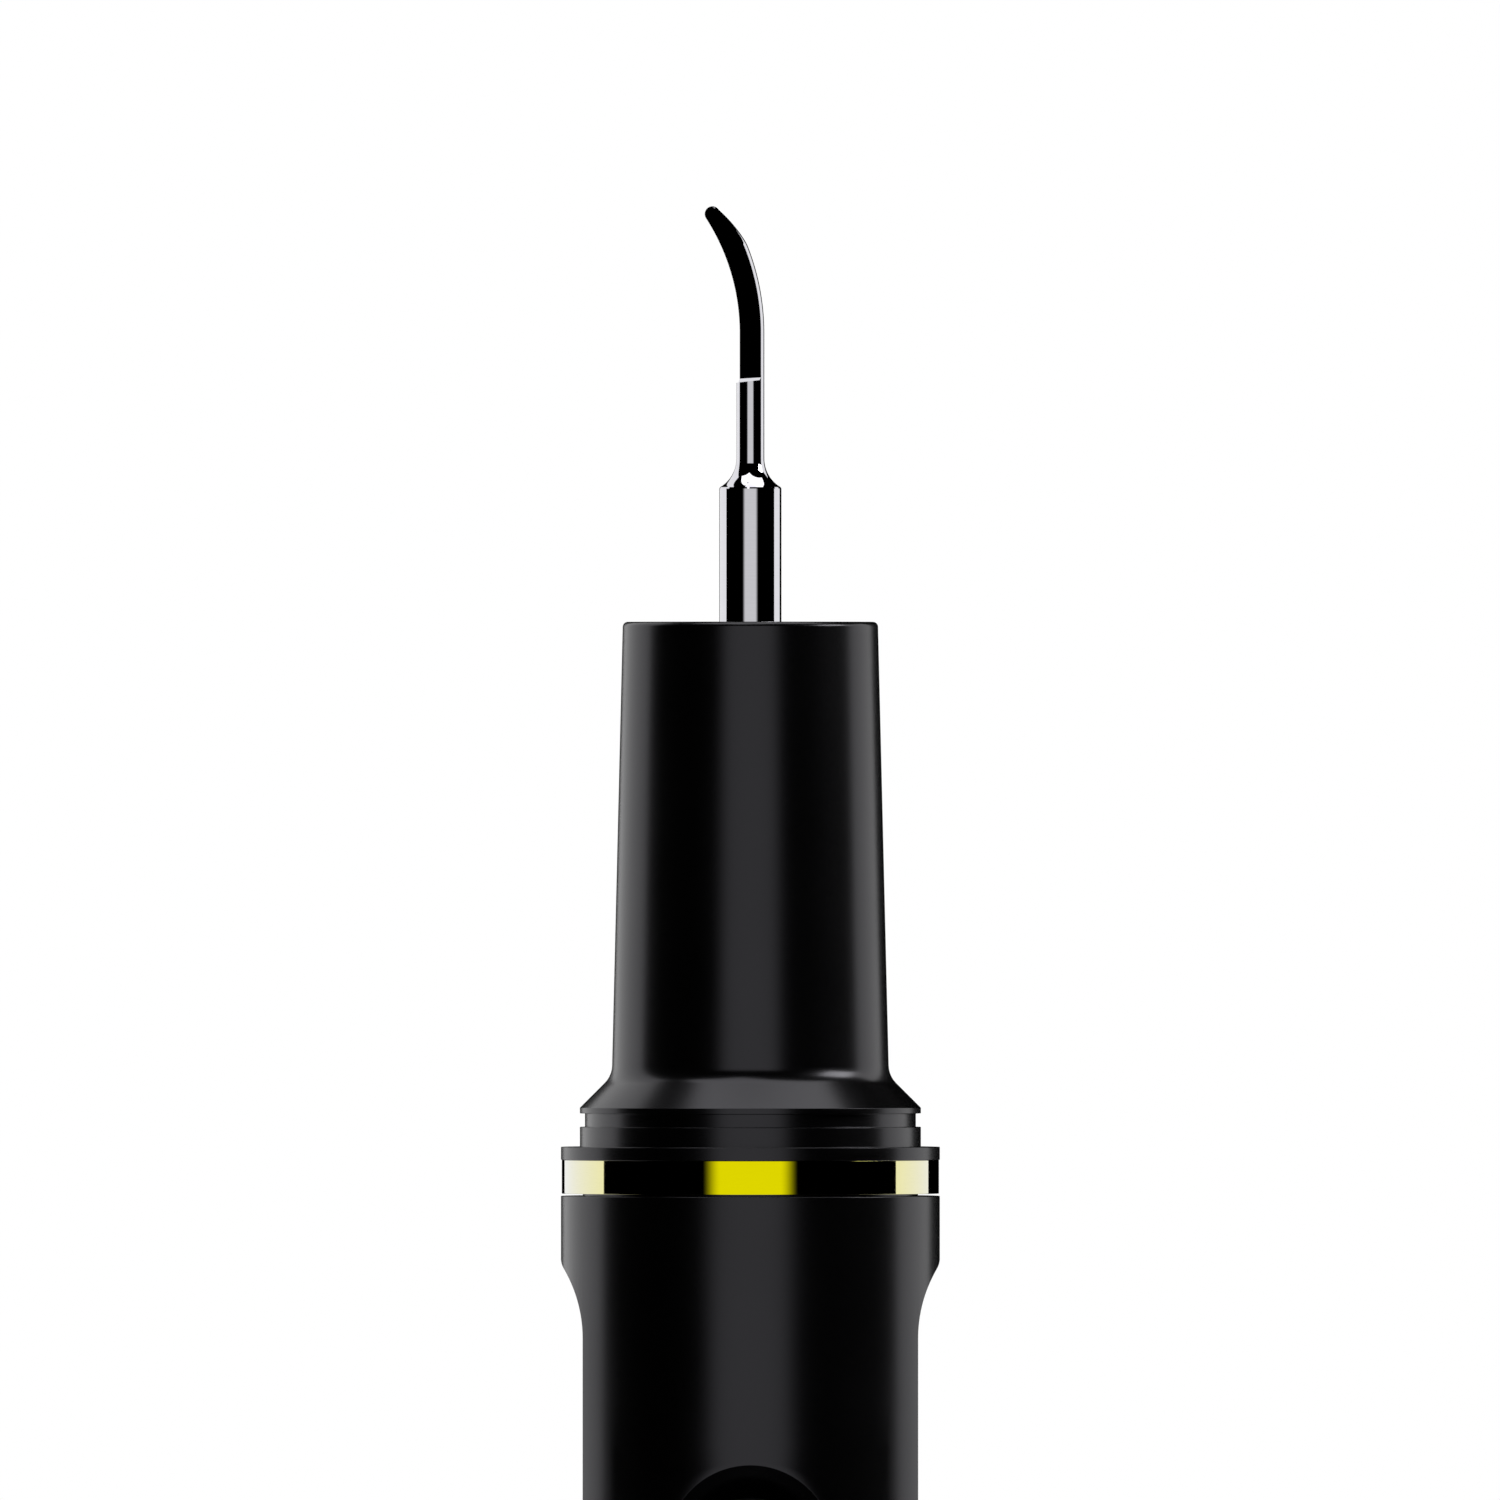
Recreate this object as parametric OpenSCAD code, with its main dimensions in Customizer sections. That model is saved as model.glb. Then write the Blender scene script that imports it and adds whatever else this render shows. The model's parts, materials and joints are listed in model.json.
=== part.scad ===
// Cordless ultrasonic dental scaler handpiece.
// Millimetres. Origin at the centre of the base, +Z along the handpiece to the tip, front is -Y.

/* [Body] */
// Height of the body's top edge above the base
body_h = 118; // [117:0.5:150]
// Width of the grip across its two flat sides
grip_d = 22.64; // [22.4:0.01:28]
// How far the round shoulder stands out of the flat sides
shoulder_out = 1.48; // [1:0.01:2]
// Height of the full round band above the flat sides
shoulder_h = 4.2; // [3:0.1:6]
// Radius of the hollow where a flat side runs out to the shoulder
waist_r = 9.1; // [6:0.1:10]
// Wall of the body tube
shell_wall = 1.52; // [1.2:0.01:1.6]
// Height of the parting line between tail cap and tube
tail_h = 6; // [5:0.1:8]
// Gap between fitted plastic parts
fit_gap = 0.05; // [0.03:0.01:0.1]

/* [Nose] */
// Length of the nose cone above the accent ring
nose_len = 36.35; // [34:0.05:46]
// Outer diameter at the root of the nose taper
nose_root_d = 18.72; // [17.6:0.01:19.6]
// Outer diameter at the top of the nose taper
nose_tip_d = 17.24; // [14:0.01:18]
// Height of the accent ring
ring_h = 2.28; // [1.8:0.01:3]
// How far the accent ring is set back from the shoulder
ring_set_back = 0.06; // [0:0.01:0.3]
// Open parting gap under the accent ring
parting_gap = 0.15; // [0.05:0.01:0.3]
// Depth of the nose spigot below the body's top edge
spigot_depth = 4.6; // [4:0.1:6]
// Wall of the socket that the spigot plugs into
socket_wall = 1.4; // [1:0.1:1.6]
// How far the collar that holds a clip-on cap is set back from the shoulder
collar_set_back = 1.28; // [1:0.01:2]

/* [Tip] */
// Diameter of the tip's shank
shank_d = 4.2; // [3.5:0.1:5.1]
// Length of shank that stands out of the nose
shank_out = 9.1; // [7:0.1:11]
// Diameter of the thin neck
neck_d = 1.88; // [1.5:0.01:2.4]
// Height of the neck's foot fillet
neck_foot_h = 1.94; // [1.6:0.01:2.4]
// Straight length of the neck
neck_len = 5.22; // [4:0.01:6.5]
// Straight length of the half-round blade
blade_len = 3; // [2:0.1:4]
// Radius of the blade's bend
blade_bend_r = 14.9; // [12:0.1:18]
// Angle of the blade's bend
blade_bend = 30; // [20:1:36]
// How far the blade's flat is turned to the left of the front
blade_turn = 40; // [0:1:60]
// Diameter of the threaded bore in the shank
thread_bore_d = 3; // [2.5:0.1:3.2]

/* [Transducer] */
// Diameter of the piezo rings
piezo_d = 10; // [8.4:0.1:12]
// Bore of the piezo rings
piezo_bore_d = 5; // [4.6:0.1:5.6]
// Thickness of one piezo ring
piezo_t = 2.5; // [2:0.1:3]
// Thickness of an electrode plate
electrode_t = 0.25; // [0.2:0.05:0.3]
// Diameter of the clamping bolt
bolt_d = 3.4; // [2.9:0.1:3.8]
// Room for the wires between the stack and the nose's wall
wire_room = 1.9; // [1.6:0.1:2.1]
// Length of the rear mass
rear_mass_len = 9; // [7:0.1:10]

/* [Button] */
// Depth of the button's centre below the body's top edge
button_drop = 23.7; // [23:0.1:25]
// Diameter of the dished recess
dish_d = 11.2; // [10:0.1:12]
// Diameter of the button cap
button_d = 6.8; // [5.6:0.1:8.2]
// Travel of the button
button_travel = 0.25; // [0.15:0.01:0.28]
// Diameter of an indicator window
lens_d = 1.4; // [1.1:0.1:1.7]
// Distance between indicator windows
lens_pitch = 2.6; // [2:0.1:3]

/* [Power] */
// Diameter of the battery cell
cell_d = 14.2; // [12:0.1:14.4]
// Length of the battery cell
cell_len = 50; // [40:0.5:50]
// Thickness of the circuit board
board_t = 1; // [0.8:0.1:1.2]
// Length of the charging port's slot
port_len = 8.94; // [7.4:0.01:10.8]
// Width of the charging port's slot
port_w = 3.26; // [2.7:0.01:4]

/* [Hidden] */
$fn = 96;
// Length added to a cut so that it passes its face
cut = 1;
// Two faces that must merge overlap by this much
merge = 0.05;
// Colours
black = [0.07, 0.07, 0.075];
dark_plastic = [0.2, 0.2, 0.21];
steel = [0.75, 0.76, 0.78];
silicone = [0.35, 0.36, 0.38];
board_green = [0.1, 0.35, 0.2];
chip_grey = [0.15, 0.15, 0.16];
copper = [0.78, 0.48, 0.28];

// ---- Body tube ----
grip_r = grip_d / 2;
shoulder_r = grip_r + shoulder_out;
bore_r = grip_r - shell_wall;
waist_slope = 30.7;
shoulder_z = body_h - shoulder_h;
shoulder_edge_r = 1.35;
edge_in = shoulder_edge_r * (1 - cos(waist_slope));
slope_top_z = shoulder_z - shoulder_edge_r * sin(waist_slope);
slope_in = shoulder_out - edge_in - waist_r * (1 - cos(waist_slope));
waist_z = slope_top_z - max(0, slope_in) / tan(waist_slope) - waist_r * sin(waist_slope);

// ---- Tail cap, foot and screws ----
foot_gap = 0.8;
foot_groove = 1;
foot_in_r = grip_r - 3.02;
foot_out_r = grip_r - 1.32;
tail_edge_r = 1.2;
tail_spigot_h = 3;
tail_spigot_wall = 1.15;
tail_spigot_r = bore_r - fit_gap;
tail_spigot_top = tail_h + tail_spigot_h;
tail_seal_tube_r = 0.36;
seal_squeeze = 0.03;
tail_seal_r = bore_r - seal_squeeze - tail_seal_tube_r;
tail_seal_z = tail_h + tail_spigot_h / 2;
seal_side_gap = 0.1;
screw_gap = 0.1;
thread_gap = 0.02;
tail_screw_r = 1;
tail_screw_len = 11.4;
tail_head_r = 1.75;
tail_head_h = 1.2;
tail_head_z = foot_gap + 0.4;

// ---- Nose cone, from the shoulder upwards ----
ring_z = body_h + parting_gap;
flange_z = ring_z + ring_h;
flange_h = 0.88;
collar_r = shoulder_r - collar_set_back;
collar_z = flange_z + flange_h;
collar_top = collar_z + 1.35;
groove_r = collar_r - 0.34;
lip_z = collar_top + 0.91;
flare_z = lip_z + 0.38;
nose_root_r = nose_root_d / 2;
nose_tip_r = nose_tip_d / 2;
nose_top = flange_z + nose_len;
nose_edge_r = 0.35;
root_fillet_r = 1.7;
socket_gap = 0.08;
socket_r = shoulder_r - socket_wall;
spigot_r = socket_r - socket_gap;
spigot_z = body_h - spigot_depth;
spigot_edge = 0.3;
spigot_hollow_r = spigot_r - 2.12;
spigot_hollow_top = body_h + 0.5;
ring_gap = 0.03;
nose_seal_tube_r = 0.43;
nose_seal_r = socket_r - seal_squeeze - nose_seal_tube_r;
nose_seal_z = spigot_z + 2.2;
nose_seal_groove_r = nose_seal_r - nose_seal_tube_r - 0.09;

// ---- Tip ----
shank_r = shank_d / 2;
shank_edge = 0.05;
shank_foot = 0.2;
shank_z = nose_top + shank_out;
neck_r = neck_d / 2;
neck_z = shank_z + neck_foot_h;
neck_step = shank_r - shank_edge - neck_r;
neck_foot_r = (neck_foot_h * neck_foot_h + neck_step * neck_step) / (2 * neck_step);
neck_foot_turn = asin(min(1, neck_foot_h / neck_foot_r));
blade_z = neck_z + neck_len;
bend_z = blade_z + blade_len;
blade_end_len = 1.39;
blade_end_r = 0.52;
blade_taper_len = 4;
tip_z = nose_top - 3.68;
thread_depth = 6.1;

// ---- Front bore and the tip's O-ring ----
seal_room = 1.1;
tip_seal_gap = 0.08;
nose_bore_r = shank_r + seal_room;
nose_bore_z = nose_top - 6.78;
tip_seal_tube_r = (seal_room - tip_seal_gap - 0.06) / 2;
tip_seal_z = tip_z + 1.1;

// ---- Transducer, from the nodal flange downwards ----
piezo_r = piezo_d / 2;
stack_count = 4;
stack_pitch = piezo_t + electrode_t;
cavity_r = piezo_r + wire_room;
node_r = cavity_r - 0.6;
horn_room_r = node_r - 0.7;
horn_room_len = 11;
seat_z = nose_bore_z - horn_room_len;
horn_seal_tube_r = 0.72;
horn_seal_land = 2 * horn_seal_tube_r + 0.06;
horn_seal_r = cavity_r - horn_seal_tube_r - 0.23;
node_h = 2;
node_top_z = seat_z - horn_seal_land;
node_z = node_top_z - node_h;
retainer_h = 4;
retainer_z = node_z - horn_seal_land - retainer_h;
retainer_in_r = piezo_r + 0.4;
retainer_slot = 1.6;
stack_top_z = node_z - 4.5;
rear_mass_top = stack_top_z - stack_count * stack_pitch;
rear_mass_z = rear_mass_top - rear_mass_len;
bolt_r = bolt_d / 2;
bolt_gap = 0.05;
bolt_head_r = bolt_r + 1.2;
bolt_head_h = 3;
bolt_hex_r = 1.5;
bolt_hex_depth = 1.8;
bolt_top_z = stack_top_z + 3;
bolt_bore_end = 0.2;
horn_shaft_r = shank_r;
horn_cone_h = 5.5;
horn_cone_steps = 8;
horn_top_z = tip_z - 0.1;
stud_gap = 0.05;
stud_r = thread_bore_d / 2 - stud_gap;
stud_len = 4.1;
tab_w = 1.6;
tab_end_r = piezo_r + 0.5;
lead_tube_r = 0.38;
lead_ring_r = tab_end_r + lead_tube_r + 0.08;

// ---- Button, from the dish's edge inwards ----
button_z = body_h - button_drop;
dish_r = dish_d / 2;
dish_edge_y = sqrt(shoulder_r * shoulder_r - dish_r * dish_r) - 0.1;
dish_draft = 0.2;
dish_floor_y = dish_edge_y - 2.5;
boss_t = 0.76;
boss_back_y = dish_floor_y - boss_t;
boss_r = min(dish_r, sqrt(bore_r * bore_r - boss_back_y * boss_back_y)) + 1;
button_r = button_d / 2;
button_gap = 0.1;
button_edge = 0.3;
button_edge_mid = 0.09;
button_rim = 0.9;
button_hollow = 0.25;
button_face_y = dish_floor_y + 1.4;
button_flange_r = button_r + 1;
gasket_t = 0.3;
gasket_rim = 0.2;
gasket_hole_gap = 0.15;
button_flange_y = boss_back_y - gasket_t - 0.05;
button_back_y = button_flange_y - 0.5;
plunger_y = button_back_y - 0.05;
plunger_len = 0.5;
plunger_r = 1;
plunger_gap = 0.08;
switch_low = 0.5;
switch_half = 2.2;
switch_clear = button_travel + 0.05;

// ---- Circuit board and what stands on it ----
// The stack's leads run straight down behind the board, so it stays within their reach
lead_gap = 0.04;
board_reach = 0.9 * lead_ring_r + lead_tube_r + lead_gap + board_t;
board_y = min(plunger_y - switch_clear - switch_low, board_reach);
switch_h = plunger_y - switch_clear - board_y;
board_front = -board_y;
board_back = board_front + board_t;
board_z = tail_spigot_top + 0.3;
board_top = spigot_z - 12;
board_half = sqrt(bore_r * bore_r - board_y * board_y) - 0.5;
chip_h = 0.9;
chip_leg_out = 0.4;
chip_leg_t = 0.3;
led_h = 0.6;
led_w = 1.6;
led_tall = 1;
lens_r = lens_d / 2;
lens_gap = 0.05;
lens_set_back = 0.02;
lens_back_y = board_y + led_h + 0.2;
lens_z = [for (i = [0 : 2]) button_z - dish_r - 2.9 - i * lens_pitch];
inductor = [7, 4, 7];
inductor_lift = 1.4;
inductor_cup_r = 2;
inductor_cup = 0.4;
core = [10, 8, 9.4];
core_wall = 1.4;
core_leg = 1.8;
core_low_z = board_top - core[2] - 2.6;
winding = [8.2, 6, 6.4];
winding_gap = 0.05;
capacitor_r = 3.15;
capacitor_h = 10;
capacitor_crimp = 0.25;
lead_y = board_back + lead_tube_r + lead_gap;
lead_x = sqrt(lead_ring_r * lead_ring_r - lead_y * lead_y);
lead_overlap = 2.4;

// ---- Charging port ----
port_cap_over = 1.83;
plug_w = port_w + 3.74;
plug_h = port_len + 2 * port_cap_over;
port_z = tail_spigot_top + plug_h / 2 - 0.3;
plug_side_gap = 0.15;
plug_flush = 0.07;
plug_back_gap = 0.05;
port_face_y = shoulder_r - 1.32;
port_boss_y = bore_r - 0.8;
port_boss_side = 0.7;
port_boss_low = tail_spigot_top + 0.1;
port_gap = 0.12;
port_depth = 7.3;
port_wall = 0.35;
port_floor = 1;
port_mouth_y = port_face_y - 0.1;
port_back_y = port_mouth_y - port_depth;
port_board_t = 0.8;
port_board_x = -port_w / 2;
tongue_set_back = 1.7;
tongue_t = 0.7;
tongue_half = port_len / 2 - 1.12;
plug_tongue_out = 1.2;
plug_tongue_w = port_w - 1.46;
plug_tongue_len = port_len - 1.14;
port_gasket_t = 0.8;
port_gasket_rim = 1;

// ---- Cell and frame ----
floor_z = port_z + plug_h / 2 + 0.7;
plate_t = 2.8;
tab_t = 0.2;
tab_half = 2.5;
inner_r = bore_r - 0.15;
cell_r = cell_d / 2;
cell_y = inner_r - cell_r - 0.15;
cell_z = floor_z + plate_t + tab_t;
cell_top = cell_z + cell_len;
cell_foot_edge = 0.4;
cell_cap_r = 2.7;
cell_cap_h = 1.2;
pad_t = 0.6;
pad_hole_r = 1.5;
frame_top_z = cell_top + tab_t + pad_t;
frame_top = frame_top_z + 3;
frame_gap = 0.15;
frame_low_r = tail_spigot_r - tail_spigot_wall - 0.1;
frame_low_top = tail_spigot_top + 0.1;
frame_slot = port_w / 2 + 2;
frame_block_y = 3;
rail_y = 1;
rail_in = board_half - 2.2;
tail_screw_x = frame_slot + 2.17;
frame_screw_r = 0.8;
frame_screw_len = 4.4;
frame_head_r = 1.4;
frame_head_h = 0.9;
frame_screw_z = [floor_z + plate_t / 2, frame_top_z + 1.5];
battery_lead_r = 0.3;
battery_lead_len = 6;
battery_lead_x = 1.6;
battery_lead_y = board_back + battery_lead_r + 0.05;

// ---- Shared shapes ----
// Points on an arc about a centre, from one angle to another
function arc(cx, cz, r, from, to, n = 8) =
    [for (i = [0 : n]) let (a = from + (to - from) * i / n) [cx + r * cos(a), cz + r * sin(a)]];

// A tube that stands at height z
module tube(outer, inner, z, h) {
    translate([0, 0, z]) difference() {
        cylinder(r = outer, h = h);
        translate([0, 0, -cut]) cylinder(r = inner, h = h + 2 * cut);
    }
}

// An O-ring at height z
module o_ring(ring_r, tube_r, z) {
    translate([0, 0, z]) rotate_extrude() translate([ring_r, 0]) circle(r = tube_r, $fn = 32);
}

// A cylinder that runs along Y from y0 to y1
module y_rod(r, x, z, y0, y1) {
    translate([x, y0, z]) rotate([-90, 0, 0]) cylinder(r = r, h = y1 - y0);
}

// A box from one corner to the opposite one
module block(low, high) {
    translate(low) cube(high - low);
}

// A slot with round ends, long in Z, that runs along Y from y0 to y1
module y_slot(w, len, z, y0, y1) {
    end_z = (len - w) / 2;
    block([-w / 2, y0, z - end_z], [w / 2, y1, z + end_z]);
    for (side = [-1, 1]) y_rod(w / 2, 0, z + side * end_z, y0, y1);
}

// A cross-recessed screw with its head at z = 0, pointing up
module screw(head_r, head_h, shaft_r, len) {
    cross_w = 0.4;
    difference() {
        union() {
            cylinder(r = head_r, h = head_h);
            cylinder(r = shaft_r, h = head_h + len);
        }
        for (turn = [0, 90]) rotate([0, 0, turn])
            block([-head_r * 0.6, -cross_w / 2, -cut], [head_r * 0.6, cross_w / 2, head_h * 0.6]);
    }
}

// ---- Tail ----
module foot_ring() {
    color(silicone) tube(foot_out_r, foot_in_r, 0, foot_gap + foot_groove);
}

// What lies within the flat sides, from the points of its right half
module between_flats(right) {
    left = [for (i = [len(right) - 1 : -1 : 0]) [-right[i][0], right[i][1]]];
    rotate([90, 0, 0]) linear_extrude(2 * shoulder_r + 2 * cut, center = true)
        polygon(concat(right, left));
}

// The bottom edge of a wall that stands at this distance from the axis
function tail_edge(r) =
    arc(r - tail_edge_r, foot_gap + tail_edge_r, tail_edge_r, -90, 0, 6);

module tail_cap() {
    spigot_in_r = tail_spigot_r - tail_spigot_wall;
    outline = concat(
        [[0, foot_gap]],
        tail_edge(shoulder_r),
        [[shoulder_r, tail_h], [tail_spigot_r, tail_h], [tail_spigot_r, tail_spigot_top],
         [spigot_in_r, tail_spigot_top], [spigot_in_r, tail_h], [0, tail_h]]);
    groove_h = 2 * (tail_seal_tube_r + seal_side_gap);
    color(black) difference() {
        intersection() {
            rotate_extrude() polygon(outline);
            between_flats(concat(tail_edge(grip_r), [[grip_r, body_h]]));
        }
        tube(foot_out_r, foot_in_r, foot_gap - cut, cut + foot_groove);
        tube(grip_r, tail_seal_r - tail_seal_tube_r - 0.09, tail_seal_z - groove_h / 2, groove_h);
        for (x = [-tail_screw_x, tail_screw_x]) translate([x, 0, 0]) {
            cylinder(r = tail_screw_r + screw_gap, h = tail_h + cut);
            cylinder(r = tail_head_r + 2 * screw_gap, h = tail_head_z + tail_head_h);
        }
    }
}

module tail_seal_ring() {
    color(silicone) o_ring(tail_seal_r, tail_seal_tube_r, tail_seal_z);
}

module tail_screws() {
    color(steel) for (x = [-tail_screw_x, tail_screw_x]) translate([x, 0, tail_head_z])
        screw(tail_head_r, tail_head_h, tail_screw_r, tail_screw_len);
}

// ---- Body ----
// A round bar whose two sides are cut flat below the shoulder, with a curved run-out
module body_bar() {
    lead_angle = 8;
    side_r = shoulder_r + cut;
    intersection() {
        translate([0, 0, tail_h]) cylinder(r = shoulder_r, h = body_h - tail_h);
        between_flats(concat(
            [[grip_r, tail_h - cut]],
            arc(grip_r + waist_r, waist_z, waist_r, 180, 180 - waist_slope),
            arc(shoulder_r - shoulder_edge_r, shoulder_z, shoulder_edge_r, -waist_slope,
                -lead_angle, 4),
            [[side_r, body_h - cut], [side_r, body_h + cut]]));
    }
}

// The dished recess with the button's bore in its floor
module dish_cut() {
    bore = button_r + button_gap;
    translate([0, 0, button_z]) rotate([90, 0, 0]) rotate_extrude() polygon([
        [0, boss_back_y - cut], [bore, boss_back_y - cut], [bore, dish_floor_y],
        [dish_r - dish_draft, dish_edge_y], [dish_r, shoulder_r + cut], [0, shoulder_r + cut]]);
}

// Thicker places inside the tube, behind the button and round the charging port
module shell_bosses() {
    intersection() {
        translate([0, 0, tail_h]) cylinder(r = bore_r + merge, h = spigot_z - tail_h);
        union() {
            y_rod(boss_r, 0, button_z, -grip_r, -boss_back_y);
            block([-plug_w / 2 - port_boss_side, port_boss_y, port_boss_low],
                [plug_w / 2 + port_boss_side, grip_r, floor_z - 0.5]);
        }
    }
}

module body_shell() {
    plug_side = plug_w / 2 + plug_side_gap;
    plug_end = plug_h / 2 + plug_side_gap;
    color(black) difference() {
        union() {
            difference() {
                body_bar();
                translate([0, 0, tail_h - cut]) cylinder(r = bore_r, h = body_h);
            }
            shell_bosses();
        }
        translate([0, 0, spigot_z]) cylinder(r = socket_r, h = body_h);
        dish_cut();
        for (z = lens_z) y_rod(lens_r + lens_gap, 0, z, -shoulder_r - cut, -bore_r + cut);
        block([-plug_side, port_face_y, port_z - plug_end],
            [plug_side, shoulder_r + cut, port_z + plug_end]);
        y_slot(port_w + 2 * port_gap, port_len + 2 * port_gap, port_z,
            port_boss_y - cut, port_face_y + cut);
    }
}

// ---- Frame ----
// A round plate behind the board, cut off at a given depth
module frame_section(r, back_y) {
    intersection() {
        circle(r = r);
        translate([-r, board_back]) square([2 * r, back_y - board_back]);
    }
}

module frame_rails() {
    difference() {
        frame_section(inner_r, rail_y);
        translate([0, cell_y]) circle(r = cell_r + frame_gap);
        translate([-rail_in, -grip_r]) square([2 * rail_in, 2 * grip_r]);
    }
}

module inner_frame() {
    color(dark_plastic) difference() {
        union() {
            translate([0, 0, tail_h]) linear_extrude(frame_low_top - tail_h)
                frame_section(frame_low_r, frame_block_y);
            translate([0, 0, frame_low_top]) linear_extrude(floor_z - frame_low_top)
                frame_section(inner_r, frame_block_y);
            translate([0, 0, floor_z]) linear_extrude(plate_t) frame_section(inner_r, inner_r);
            translate([0, 0, floor_z + plate_t - merge])
                linear_extrude(frame_top_z - floor_z - plate_t + 2 * merge) frame_rails();
            translate([0, 0, frame_top_z]) linear_extrude(frame_top - frame_top_z)
                frame_section(inner_r, inner_r);
        }
        block([-frame_slot, -grip_r, tail_h - cut], [frame_slot, grip_r, floor_z]);
        for (x = [-tail_screw_x, tail_screw_x]) translate([x, 0, 0])
            cylinder(r = tail_screw_r + thread_gap,
                h = tail_head_z + tail_head_h + tail_screw_len + cut);
        for (z = frame_screw_z) y_rod(frame_screw_r + thread_gap, 0, z, board_front,
            board_front + frame_screw_len + screw_gap);
    }
}

module frame_screws() {
    color(steel) for (z = frame_screw_z)
        translate([0, board_front - frame_head_h, z]) rotate([-90, 0, 0])
            screw(frame_head_r, frame_head_h, frame_screw_r, frame_screw_len);
}

// ---- Boards and components ----
module main_board() {
    color(board_green) difference() {
        block([-board_half, board_front, board_z], [board_half, board_back, board_top]);
        for (z = frame_screw_z)
            y_rod(frame_screw_r + screw_gap, 0, z, board_front - cut, board_back + cut);
    }
}

// A square chip on the board's front face, with rows of legs at both sides
module chip(side, z, legs) {
    leg_pitch = side * 0.8 / (legs - 1);
    leg_w = leg_pitch * 0.45;
    row_half = (legs - 1) * leg_pitch / 2;
    color(chip_grey) translate([0, board_front, z]) {
        block([-side / 2, -chip_h, -side / 2], [side / 2, 0, side / 2]);
        for (i = [0 : legs - 1]) translate([0, 0, i * leg_pitch - row_half])
            block([-side / 2 - chip_leg_out, -chip_leg_t, -leg_w / 2],
                [side / 2 + chip_leg_out, 0, leg_w / 2]);
    }
}

module controller_chip() {
    chip(5, frame_top_z - 8, 8);
}

module driver_chip() {
    chip(4, frame_top_z - 18, 6);
}

module charger_chip() {
    chip(3, floor_z + 10, 4);
}

module boost_inductor() {
    low = frame_top + inductor_lift;
    far_y = board_back + inductor[1];
    color(chip_grey) difference() {
        block([-inductor[0] / 2, board_back, low], [inductor[0] / 2, far_y, low + inductor[2]]);
        y_rod(inductor_cup_r, 0, low + inductor[2] / 2, far_y - inductor_cup, far_y + cut);
    }
}

// Two windows beside the middle leg hold the winding
module transformer_core() {
    window_low = core_low_z + core_wall;
    window_top = core_low_z + core[2] - core_wall;
    color(chip_grey) difference() {
        block([-core[0] / 2, board_back, core_low_z],
            [core[0] / 2, board_back + core[1], core_low_z + core[2]]);
        for (side = [-1, 1]) translate([side * (core[0] / 2 - core_wall / 2 + core_leg) / 2, 0, 0])
            block([-(core[0] / 2 - core_leg) / 2 + core_wall / 4, board_back - cut, window_low],
                [(core[0] / 2 - core_leg) / 2 - core_wall / 4, board_back + core[1] + cut, window_top]);
    }
}

module transformer_winding() {
    low = core_low_z + (core[2] - winding[2]) / 2;
    leg = core_leg + core_wall / 4 + winding_gap;
    color(copper) difference() {
        block([-winding[0] / 2, board_back + 1, low],
            [winding[0] / 2, board_back + 1 + winding[1], low + winding[2]]);
        block([-leg, board_back, low - cut], [leg, board_back + core[1], low + winding[2] + cut]);
    }
}

module bulk_capacitor() {
    crimp = capacitor_crimp;
    crimp_z = 1.2;
    color([0.2, 0.25, 0.45]) translate([0, inner_r - capacitor_r - 0.65, frame_top])
        rotate_extrude() polygon([
            [0, 0], [capacitor_r, 0], [capacitor_r, crimp_z - crimp], [capacitor_r - crimp, crimp_z],
            [capacitor_r, crimp_z + crimp], [capacitor_r, capacitor_h - crimp],
            [capacitor_r - crimp, capacitor_h], [0, capacitor_h]]);
}

module status_leds() {
    color([0.9, 0.9, 0.7]) for (z = lens_z)
        block([-led_w / 2, board_front - led_h, z - led_tall / 2],
            [led_w / 2, board_front, z + led_tall / 2]);
}

module indicator_lenses() {
    color([0.85, 0.9, 0.95]) for (z = lens_z)
        y_rod(lens_r, 0, z, -shoulder_r + lens_set_back, -lens_back_y);
}

// ---- Button and switch ----
module button_cap() {
    color(dark_plastic) translate([0, 0, button_z]) rotate([90, 0, 0]) rotate_extrude() polygon([
        [0, button_back_y], [button_flange_r, button_back_y], [button_flange_r, button_flange_y],
        [button_r, button_flange_y], [button_r, button_face_y - button_edge],
        [button_r - button_edge_mid, button_face_y - button_edge_mid],
        [button_r - button_edge, button_face_y], [button_r - button_rim, button_face_y],
        [0, button_face_y - button_hollow]]);
}

module button_gasket() {
    color(silicone) difference() {
        y_rod(button_flange_r + gasket_rim, 0, button_z, -boss_back_y, -boss_back_y + gasket_t);
        y_rod(button_r + gasket_hole_gap, 0, button_z, -boss_back_y - cut, -boss_back_y + cut);
    }
}

module switch_base() {
    color(steel) difference() {
        block([-switch_half, board_front - switch_h, button_z - switch_half],
            [switch_half, board_front, button_z + switch_half]);
        y_rod(plunger_r + plunger_gap, 0, button_z, board_front - switch_h - cut, board_front + cut);
    }
}

module switch_plunger() {
    color(black) y_rod(plunger_r, 0, button_z, -plunger_y, -plunger_y + plunger_len);
}

// ---- Battery ----
module battery_cell() {
    shoulder = cell_len - 0.8;
    plate = cell_len - cell_cap_h;
    rim_r = cell_r - cell_cap_h;
    color([0.15, 0.35, 0.65]) translate([0, cell_y, cell_z]) rotate_extrude() polygon([
        [0, 0], [cell_r - cell_foot_edge, 0], [cell_r, cell_foot_edge], [cell_r, shoulder - 0.5],
        [cell_r - 0.5, shoulder], [rim_r, shoulder], [rim_r, plate], [cell_cap_r + 0.2, plate],
        [cell_cap_r, cell_len], [0, cell_len]]);
}

module battery_tab(z) {
    color(steel) block([-tab_half, board_back + 0.1, z], [tab_half, cell_y + 2, z + tab_t]);
}

module battery_lead(x, z) {
    translate([x, battery_lead_y, z]) cylinder(r = battery_lead_r, h = battery_lead_len);
}

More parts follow.
